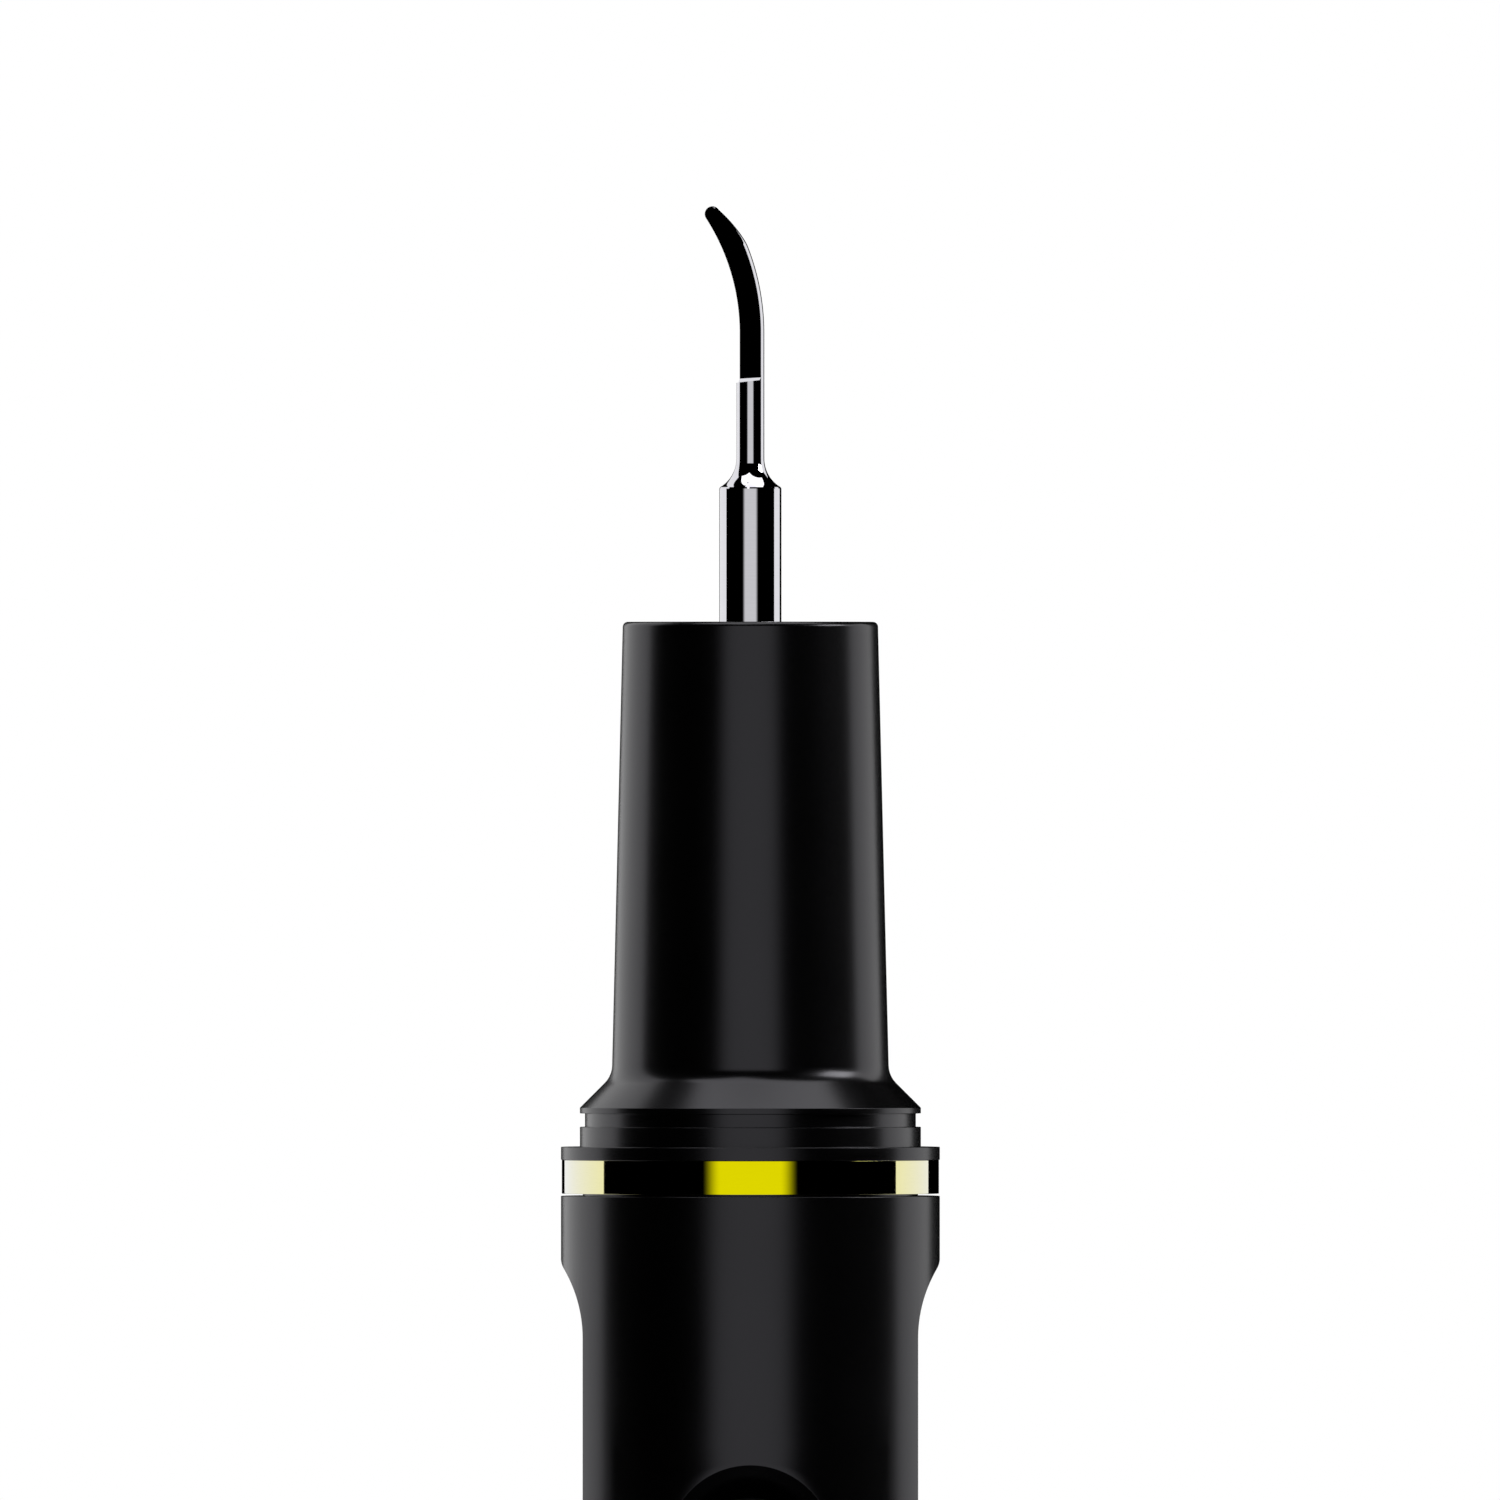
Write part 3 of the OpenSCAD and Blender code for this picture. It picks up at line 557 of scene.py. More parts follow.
class Tree:
    """A Geometry Nodes tree with named inputs, run on an object of its own."""

    def __init__(self, name: str, inputs: dict[str, str]) -> None:
        """Starts the tree.

        Args:
            name: Name of the tree.
            inputs: Each input's name and the kind of its socket, such as "Float".
        """
        self.group = bpy.data.node_groups.new(name, "GeometryNodeTree")
        face = self.group.interface
        face.new_socket("Geometry", in_out="OUTPUT", socket_type="NodeSocketGeometry")
        self.keys = {
            name: face.new_socket(name, in_out="INPUT", socket_type=f"NodeSocket{kind}").identifier
            for name, kind in inputs.items()}
        self.inputs = self.group.nodes.new("NodeGroupInput").outputs

    def node(self, kind: str, wires: dict[int | str, object],
             **settings: object) -> bpy.types.Node:
        """Adds a node to this tree, as add_node does."""
        return add_node(self.group, kind, wires, **settings)

    def math(self, operation: str, a: object, b: object) -> bpy.types.NodeSocket:
        """The result of a math node."""
        return self.node("ShaderNodeMath", {0: a, 1: b}, operation=operation).outputs[0]

    def end(self, geometry: bpy.types.NodeSocket) -> None:
        """Ends the tree: real geometry with its material.

        Args:
            geometry: What the tree has made.
        """
        real = self.node("GeometryNodeRealizeInstances", {"Geometry": geometry})
        painted = self.node("GeometryNodeSetMaterial", {
            "Geometry": real.outputs[0], "Material": self.inputs["Material"]})
        self.node("NodeGroupOutput", {"Geometry": painted.outputs[0]})

    def run(self, **values: object) -> bpy.types.Mesh:
        """Runs the tree and returns the plain mesh that it makes.

        Args:
            values: The value of each input, by its name.

        Returns:
            The mesh.
        """
        host = link("host", bpy.data.meshes.new("host"))
        modifier = host.modifiers.new("tree", "NODES")
        modifier.node_group = self.group
        for label, value in values.items():
            modifier[self.keys[label]] = value
        made = applied(host)
        drop(host)
        return made


class TurningTree(Tree):
    """Turns an outline about Z: each row of a grid takes its radius and height from a point."""

    def __init__(self) -> None:
        """Builds the tree."""
        super().__init__("turning", {
            "Profile": "Object", "Steps": "Int", "Lean": "Rotation", "Place": "Vector",
            "Material": "Material"})
        line = self.node("GeometryNodeObjectInfo", {0: self.inputs["Profile"]})
        profile = line.outputs["Geometry"]
        rows = self.node("GeometryNodeAttributeDomainSize", {0: profile}).outputs["Point Count"]
        across = self.math("ADD", self.inputs["Steps"], 1.0)
        grid = self.node("GeometryNodeMeshGrid", {"Vertices X": rows, "Vertices Y": across})
        index = self.node("GeometryNodeInputIndex", {}).outputs[0]
        row = self.math("FLOOR", self.math("DIVIDE", index, across), 0.0)
        column = self.math("SUBTRACT", index, self.math("MULTIPLY", row, across))
        turn = self.math("MULTIPLY", self.math("DIVIDE", column, self.inputs["Steps"]), math.tau)
        place = self.node("GeometryNodeInputPosition", {}).outputs[0]
        sample = self.node("GeometryNodeSampleIndex", {"Geometry": profile, "Index": row},
                           data_type="FLOAT_VECTOR", domain="POINT")
        self.group.links.new(place, sample.inputs["Value"])
        split = self.node("ShaderNodeSeparateXYZ", {0: sample.outputs["Value"]}).outputs
        spun = self.node("ShaderNodeCombineXYZ", {
            0: self.math("MULTIPLY", split["X"], self.math("COSINE", turn, 0.0)),
            1: self.math("MULTIPLY", split["X"], self.math("SINE", turn, 0.0)),
            2: split["Z"]}).outputs[0]
        bent = self.node("GeometryNodeSetPosition", {
            "Geometry": grid.outputs["Mesh"], "Position": spun}).outputs[0]
        sewn = self.node("GeometryNodeMergeByDistance", {"Geometry": bent, "Distance": MERGE})
        leant = self.node("GeometryNodeTransform", {
            "Geometry": sewn.outputs[0], "Translation": self.inputs["Place"],
            "Rotation": self.inputs["Lean"]})
        self.end(leant.outputs[0])

    def turn(self, profile: Sequence[Pair], finish: Finish, steps: int = TURN_STEPS,
             lean: Point = (0, 0, 0), place: Point = (0, 0, 0)) -> bpy.types.Mesh:
        """Turns a profile.

        Args:
            profile: Radius and height of each point, in order.
            finish: The finish of the turned solid.
            steps: How many steps make a full turn.
            lean: Rotation of the solid, in radians.
            place: Where the profile's zero goes after that.

        Returns:
            The turned mesh.
        """
        line = Skin()
        line.row([(r, 0.0, z) for r, z in profile])
        helper = link("profile", line.mesh("profile"))
        made = self.run(Profile=helper, Steps=steps, Lean=lean, Material=finish.material(),
                        Place=[c * MM for c in place])
        drop(helper)
        return made


class RingTree(Tree):
    """A ring about Z: a rectangle with round corners swept along a circle."""

    def __init__(self) -> None:
        """Builds the tree."""
        super().__init__("ring", {
            "Radius": "Float", "Width": "Float", "Height": "Float", "Edge": "Float",
            "Level": "Vector", "Steps": "Int", "Material": "Material"})
        path = self.node("GeometryNodeCurvePrimitiveCircle", {
            "Resolution": self.inputs["Steps"], "Radius": self.inputs["Radius"]}).outputs["Curve"]
        section = self.node("GeometryNodeCurvePrimitiveQuadrilateral", {
            "Width": self.inputs["Width"], "Height": self.inputs["Height"]}).outputs[0]
        soft = self.node("GeometryNodeFilletCurve", {
            "Curve": section, "Count": 5, "Radius": self.inputs["Edge"]}, mode="POLY").outputs[0]
        swept = self.node("GeometryNodeCurveToMesh", {"Curve": path, "Profile Curve": soft})
        raised = self.node("GeometryNodeTransform", {
            "Geometry": swept.outputs[0], "Translation": self.inputs["Level"]})
        self.end(raised.outputs[0])

    def ring(self, box: Box, inner: float, edge: float, finish: Finish) -> bpy.types.Mesh:
        """A ring that fills a box's height and its outer radius.

        Args:
            box: The box of the CAD ring.
            inner: The ring's inner radius.
            edge: Radius of its rounded edges.
            finish: Its finish.

        Returns:
            The ring's mesh.
        """
        outer = box.high.x
        return self.run(
            Radius=(outer + inner) / 2 * MM, Width=(outer - inner) * MM,
            Height=2 * box.half.z * MM, Edge=edge * MM, Level=(0, 0, box.middle.z * MM),
            Steps=FINE_STEPS, Material=finish.material())


class RepeatTree(Tree):
    """Copies of a part at even steps along a line."""

    def __init__(self) -> None:
        """Builds the tree."""
        super().__init__("repeat", {
            "Part": "Object", "Count": "Int", "Start": "Vector", "Step": "Vector",
            "Material": "Material"})
        part = self.node("GeometryNodeObjectInfo", {0: self.inputs["Part"]}).outputs["Geometry"]
        line = self.node("GeometryNodeMeshLine", {
            "Count": self.inputs["Count"], "Start Location": self.inputs["Start"],
            "Offset": self.inputs["Step"]}, mode="OFFSET").outputs[0]
        copies = self.node("GeometryNodeInstanceOnPoints", {"Points": line, "Instance": part})
        self.end(copies.outputs[0])

    def copies(self, part: bpy.types.Mesh, count: int, start: Point, step: Point,
               finish: Finish) -> bpy.types.Mesh:
        """Copies of a mesh in one mesh.

        Args:
            part: The mesh to repeat.
            count: How many copies.
            start: Where the first one goes.
            step: From each one to the next.
            finish: Their finish.

        Returns:
            The mesh of all copies.
        """
        helper = link("part", part)
        made = self.run(Part=helper, Count=count, Start=[c * MM for c in start],
                        Step=[c * MM for c in step], Material=finish.material())
        drop(helper)
        return made


# ---- Finishes ----


class Grain(Enum):
    """How a fine pattern runs: its frequency along X, Y and Z beside the grain's own."""

    EVEN = (1.0, 1.0, 1.0)
    TURNED = (0.03, 0.03, 1.0)
    DRAWN = (1.0, 1.0, 0.03)
    WOUND = (0.12, 0.12, 1.0)


@dataclass(frozen=True)
class Finish:
    """A surface whose colour, roughness and relief follow a fine grain and a slow drift."""

    name: str
    colour: Colour
    drift: Colour
    rough: Pair
    grain_mm: float = 0.25
    relief_mm: float = 0.0006
    grain: Grain = Grain.EVEN
    metal: float = 0.0
    coat: float = 0.0
    drift_mm: float = 9.0
    shine: Colour = (1.0, 1.0, 1.0)
    shine_level: float = 0.5
    detail: float = 3.0
    coat_rough: float = 0.05

    def material(self) -> bpy.types.Material:
        """The finish's material, made once."""
        name = f"{self.name}_surface"
        return bpy.data.materials.get(name) or self.make(name)

    def noise(self, tree: bpy.types.NodeTree, size_mm: float, run: Point) -> bpy.types.NodeSocket:
        """A noise pattern in the object's own space.

        Args:
            tree: The material's nodes.
            size_mm: Size of its features.
            run: Frequency along each axis beside the others.

        Returns:
            The pattern, from 0 to 1.
        """
        place = add_node(tree, "ShaderNodeTexCoord", {}).outputs["Object"]
        scaled = add_node(tree, "ShaderNodeMapping", {
            "Vector": place, "Scale": [f / (size_mm * MM) for f in run]}).outputs["Vector"]
        made = add_node(tree, "ShaderNodeTexNoise", {
            "Vector": scaled, "Scale": 1.0, "Detail": self.detail})
        return made.outputs["Fac"]

    def ramp(self, tree: bpy.types.NodeTree, along: bpy.types.NodeSocket,
             stops: Sequence[tuple[float, Colour]]) -> bpy.types.NodeSocket:
        """A colour that runs from stop to stop.

        Args:
            tree: The material's nodes.
            along: What carries it, from 0 to 1.
            stops: Position and colour of each stop.

        Returns:
            The colour.
        """
        made = add_node(tree, "ShaderNodeValToRGB", {"Fac": along})
        elements = made.color_ramp.elements
        while len(elements) < len(stops):
            elements.new(1.0)
        for element, (position, colour) in zip(elements, stops):
            element.position, element.color = position, (*colour, 1)
        return made.outputs["Color"]

    def shade(self, tree: bpy.types.NodeTree, grain: bpy.types.NodeSocket) -> bpy.types.NodeSocket:
        """The surface's colour, which the grain carries from one tone to the other.

        Args:
            tree: The material's nodes.
            grain: The pattern, from 0 to 1.

        Returns:
            The colour.
        """
        return self.ramp(tree, grain, list(zip(NOISE_SPAN, (self.colour, self.drift))))

    def make(self, name: str) -> bpy.types.Material:
        """Builds the material.

        Args:
            name: Its name.

        Returns:
            The material.
        """
        made = bpy.data.materials.new(name)
        made.use_nodes = True
        tree = made.node_tree
        grain = self.noise(tree, self.grain_mm, self.grain.value)
        slow = self.noise(tree, self.drift_mm, Grain.EVEN.value)
        share = 0.5
        halved = add_node(tree, "ShaderNodeMath", {0: slow, 1: share}, operation="MULTIPLY")
        blend = add_node(tree, "ShaderNodeMath", {0: grain, 1: share, 2: halved.outputs[0]},
                         operation="MULTIPLY_ADD")
        rough = add_node(tree, "ShaderNodeMapRange", {
            "Value": blend.outputs[0], "From Min": NOISE_SPAN[0], "From Max": NOISE_SPAN[1],
            "To Min": self.rough[0], "To Max": self.rough[1]})
        relief = add_node(tree, "ShaderNodeBump", {
            "Height": grain, "Distance": self.relief_mm * MM})
        shader = next(n for n in tree.nodes if n.type == "BSDF_PRINCIPLED")
        wire(tree, shader, {
            "Base Color": self.shade(tree, grain), "Metallic": self.metal,
            "Roughness": rough.outputs[0], "Normal": relief.outputs["Normal"],
            "Specular Tint": (*self.shine, 1), "Specular IOR Level": self.shine_level,
            "Coat Weight": self.coat, "Coat Roughness": self.coat_rough})
        return made


@dataclass(frozen=True)
class TintedFinish(Finish):
    """A dyed, clear-sealed metal: its shine pales as the surface turns away from the eye."""

    pale: Sequence[tuple[float, Colour]] = ()

    def shade(self, tree: bpy.types.NodeTree, grain: bpy.types.NodeSocket) -> bpy.types.NodeSocket:
        """The dye's colour seen straight on, and the paler shine seen at a slant.

        Args:
            tree: The material's nodes.
            grain: The pattern, from 0 to 1.

        Returns:
            The colour.
        """
        facing = add_node(tree, "ShaderNodeLayerWeight", {"Blend": 0.5}).outputs["Facing"]
        return add_node(tree, "ShaderNodeMix", {
            "Factor": 1.0, "A": self.ramp(tree, facing, self.pale),
            "B": super().shade(tree, grain)}, data_type="RGBA", blend_type="MULTIPLY",
        ).outputs["Result"]


def finishes() -> dict[str, Finish]:
    """Every finish of the handpiece, by the name of its material slot."""
    made = [
        Finish("black_plastic", (0.0001, 0.0001, 0.00012), (0.0003, 0.0003, 0.00034), (0.22, 0.27),
               grain_mm=0.16, relief_mm=0.0004, shine=(0.93, 0.915, 1.0), shine_level=0.54),
        Finish("soft_black", (0.004, 0.004, 0.0043), (0.007, 0.007, 0.0075), (0.48, 0.56),
               grain_mm=0.12, relief_mm=0.001),
        Finish("silicone", (0.028, 0.028, 0.03), (0.036, 0.036, 0.038), (0.5, 0.6),
               grain_mm=0.14, relief_mm=0.001),
        TintedFinish("yellow_metal", (1.0, 1.0, 1.0), (0.97, 0.97, 0.97), (0.02, 0.05),
                     grain_mm=0.03, relief_mm=0.0, grain=Grain.TURNED, metal=1.0,
                     pale=((0.03, (1.0, 0.91, 0.0)), (0.36, (0.84, 0.8, 0.41)),
                           (0.78, (0.82, 0.82, 0.76)))),
        Finish("polished_steel", (0.74, 0.735, 0.775), (0.71, 0.705, 0.745), (0.015, 0.04),
               grain_mm=0.05, relief_mm=0.0, grain=Grain.TURNED, metal=1.0),
        Finish("steel", (0.6, 0.6, 0.61), (0.52, 0.52, 0.53), (0.22, 0.34),
               grain_mm=0.08, grain=Grain.TURNED, metal=1.0),
        Finish("dark_steel", (0.06, 0.06, 0.065), (0.09, 0.09, 0.1), (0.35, 0.45), metal=1.0),
        Finish("titanium", (0.42, 0.41, 0.4), (0.36, 0.35, 0.34), (0.25, 0.36),
               grain_mm=0.06, grain=Grain.TURNED, metal=1.0),
        Finish("frame_plastic", (0.02, 0.02, 0.022), (0.028, 0.028, 0.03), (0.45, 0.55)),
        Finish("board", (0.008, 0.07, 0.025), (0.015, 0.11, 0.04), (0.3, 0.4), grain_mm=0.5,
               coat=0.4),
        Finish("component_black", (0.01, 0.01, 0.011), (0.018, 0.018, 0.019), (0.5, 0.6),
               grain_mm=0.06),
        Finish("copper", (0.72, 0.33, 0.16), (0.5, 0.2, 0.09), (0.25, 0.35), grain_mm=0.12,
               relief_mm=0.02, grain=Grain.WOUND, metal=1.0),
        Finish("capacitor_sleeve", (0.01, 0.013, 0.05), (0.014, 0.018, 0.065), (0.25, 0.32)),
        Finish("lamp", (0.75, 0.72, 0.5), (0.8, 0.78, 0.6), (0.15, 0.22), coat=0.5),
        Finish("lens", (0.36, 0.38, 0.4), (0.42, 0.44, 0.46), (0.2, 0.28), grain_mm=0.1, coat=0.6),
        Finish("cell_wrap", (0.01, 0.05, 0.2), (0.012, 0.06, 0.24), (0.22, 0.3), grain_mm=0.4),
        Finish("red_wire", (0.42, 0.012, 0.012), (0.5, 0.016, 0.016), (0.35, 0.42),
               grain=Grain.DRAWN),
        Finish("black_wire", (0.01, 0.01, 0.01), (0.014, 0.014, 0.014), (0.35, 0.42),
               grain=Grain.DRAWN),
        Finish("piezo_ceramic", (0.62, 0.55, 0.36), (0.68, 0.62, 0.43), (0.4, 0.5),
               grain_mm=0.07),
        Finish("white_plastic", (0.7, 0.69, 0.65), (0.74, 0.73, 0.7), (0.4, 0.5))]
    return {f.name: f for f in made}


# ---- Sub-assemblies ----


@dataclass
class Shop:
    """What every sub-assembly is made with: the finishes and the trees."""

    finish: dict[str, Finish] = field(default_factory=finishes)
    turning: TurningTree = field(default_factory=TurningTree)
    rings: RingTree = field(default_factory=RingTree)
    repeats: RepeatTree = field(default_factory=RepeatTree)

    def piece(self, name: str, mesh: bpy.types.Mesh, slot: str, body: str = HANDPIECE,
              nodes: Sequence[str] = ()) -> bpy.types.Object:
        """Finishes a mesh as a piece of the handpiece.

        Args:
            name: The piece's name.
            mesh: Its mesh, in place.
            slot: The material slot that it takes its finish from.
            body: The CAD body that it rides on.
            nodes: The CAD nodes that it stands for.

        Returns:
            The piece.
        """
        settle(mesh)
        made = link(name, mesh)
        evened = made.modifiers.new("even_shading", "WEIGHTED_NORMAL")
        evened.keep_sharp = True
        made.data = applied(made)
        made.data.name = name
        made.data.materials.clear()
        made.data.materials.append(self.finish[slot].material())
        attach(made, body)
        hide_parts(*nodes)
        LOG.info("%s: %d faces on %s", name, len(made.data.polygons), body)
        return made


@dataclass
class Tail:
    """The tail cap with the soft ring that it stands on, and the two screws that hold it."""

    shop: Shop
    edge: float = 1.2
    parting_edge: float = 0.12
    spigot_in: float = 1.15
    groove: Pair = (0.79, 0.46)
    foot_edge: float = 0.35
    pocket: float = 1.95
    shaft_hole: float = 1.1
    shaft: float = 1.0
    thread_pitch: float = 0.4
    thread_depth: float = 0.08
    cross: Pair = (1.05, 0.2)
    spigot_out: float = 0.1
    spigot_edges: Pair = (0.2, 0.1)
    foot_lip: float = 0.05
    head_h: float = 1.2
    pocket_lip: float = 0.06
    hole_margin: float = 0.3
    hole_columns: int = 14
    hole_rows: int = 16
    recess: Pair = (0.8, 0.72)
    head_face: Sequence[Pair] = ((0.25, 0.0), (0.08, 0.07), (0.0, 0.24))
    point: float = 0.6

    def build(self) -> None:
        """Builds the three pieces."""
        self.shop.piece("tail_cap", self.cap(), "black_plastic", nodes=["tail_cap"])
        foot = Box.of("foot_ring")
        ring = self.shop.rings.ring(
            foot, self.foot_inner(), self.foot_edge, self.shop.finish["silicone"])
        self.shop.piece("foot_ring", ring, "silicone", nodes=["foot_ring"])
        self.shop.piece("tail_screws", self.screws(), "steel", nodes=["tail_screws"])

    def foot_inner(self) -> float:
        """The foot ring's inner radius: the base mount lies in the middle of its face."""
        return 2 * mount("base")["pos_m"][0] / MM - Box.of("foot_ring").high.x

    def cap(self) -> bpy.types.Mesh:
        """The cap: a flat-sided cup with a groove for the foot ring and two screw holes."""
        box, foot, screw = Box.of("tail_cap"), Box.of("foot_ring"), Box.of("tail_screws")
        bottom, top, parting = box.low.z, box.high.z, Box.of("body_shell").low.z
        outer, grip = box.high.y, box.high.x
        spigot = Box.of("inner_frame").high.x + self.spigot_out
        seal = Box.of("tail_seal_ring").middle.z
        under, over = seal - self.groove[1], seal + self.groove[1]
        neck, bore, inner = spigot - self.groove[0], spigot - self.spigot_in, self.foot_inner()
        centre = screw.high.x - screw.half.y
        shoulder = screw.low.z + self.head_h
        reach = self.pocket + self.hole_margin
        rungs = spread(centre - reach, centre + reach, self.hole_rows)
        below = [(0.0, bottom), *((r, bottom) for r in rungs)]
        wall = rounded([
            (rungs[-1], bottom, 0), (inner, bottom, self.foot_lip), (inner, foot.high.z, 0),
            (foot.high.x, foot.high.z, 0), (foot.high.x, bottom, self.foot_lip),
            (outer, bottom, self.edge), (outer, parting, self.parting_edge), (spigot, parting, 0),
            (spigot, under, 0), (neck, under, 0), (neck, over, 0), (spigot, over, 0),
            (spigot, top, self.spigot_edges[0]), (bore, top, self.spigot_edges[1]),
            (bore, parting, 0), (rungs[-1], parting, 0)])[1:-1]
        above = [*((r, parting) for r in reversed(rungs)), (0.0, parting)]
        skin = Turned([*below, *wall, *above])
        last = len(skin.rows) - 1
        for side in (Side(0.0), Side(180.0)):
            rims = (skin.window(side, self.hole_columns, 1, len(rungs)),
                    skin.window(side, self.hole_columns, last - 1, last - len(rungs)))
            rings = [
                [side.point(u, z, v) for u, v in
                 Outline.circle(0, centre, radius).ring(2 * self.hole_columns, self.hole_rows)]
                for radius, z in [
                    (self.pocket + self.pocket_lip, bottom),
                    (self.pocket, bottom + self.pocket_lip), (self.pocket, shoulder),
                    (self.shaft_hole, shoulder), (self.shaft_hole, parting)]]
            skin.tunnel(rims, rings)
        skin.close()
        flat = grip - self.edge
        foot_arc = arc((flat, bottom + self.edge), self.edge, -90, 0, 12)
        sides = FlatSides(rounded([
            (flat, bottom - LAP, 0), (flat, bottom, 0), *((x, z, 0) for x, z in foot_arc),
            (grip, parting, self.parting_edge), (grip - LAP, parting + LAP / 2, 0)]))
        return sides.cut(skin.mesh("tail_cap"))

    def screws(self) -> bpy.types.Mesh:
        """Two cross-recessed screws, heads down."""
        box = Box.of("tail_screws")
        head, low = box.half.y, box.low.z
        length, tall = 2 * box.half.z, self.head_h
        half_len, half_w = self.cross
        between = (half_len + half_w) / 2
        corners = [(half_len, 0), (half_len, half_w), (between, half_w), (half_w, half_w),
                   (half_w, between), (half_w, half_len)]
        cross = [turned(x, y, math.radians(90 * quarter)) for quarter in range(4)
                 for x, y in corners]
        # Every ring of the screw has its points where the recess has its own
        turns = [math.atan2(y, x) for x, y in cross]
        half_pitch = self.thread_pitch / 2
        crests = [
            around(self.shaft - self.thread_depth * (i % 2), tall + i * half_pitch, turns)
            for i in range(1, int((length - tall) / half_pitch) - 2)]
        shrink, deep = self.recess
        screw = solid("screw", [
            [(x * shrink, y * shrink, deep) for x, y in cross], [(x, y, 0.0) for x, y in cross],
            *(around(head - inset, z, turns) for inset, z in self.head_face),
            around(head, tall, turns), around(self.shaft, tall, turns), *crests,
            around(self.shaft * self.point, length, turns)])
        start = (box.low.x + head, 0.0, low)
        step = (2 * (box.half.x - head), 0.0, 0.0)
        return self.shop.repeats.copies(screw, 2, start, step, self.shop.finish["steel"])


@dataclass(frozen=True)
class Window:
    """The patch of the shell's grid that one opening takes up."""

    side: Side
    half: int
    heights: Sequence[float]

    @classmethod
    def over(cls, side: Side, grid: tuple[int, int], low: float, high: float) -> Window:
        """The window between two heights, with half its columns and its steps in height."""
        return cls(side, grid[0], spread(low, high, grid[1]))

    @property
    def steps(self) -> tuple[int, int]:
        """Steps along the patch's lower edge and along its upright one."""
        return 2 * self.half, len(self.heights) - 1


def button_radius() -> float:
    """The radius of the button's cap, which its flange stands out past."""
    return Box.of("button_cap").half.x - FLANGE


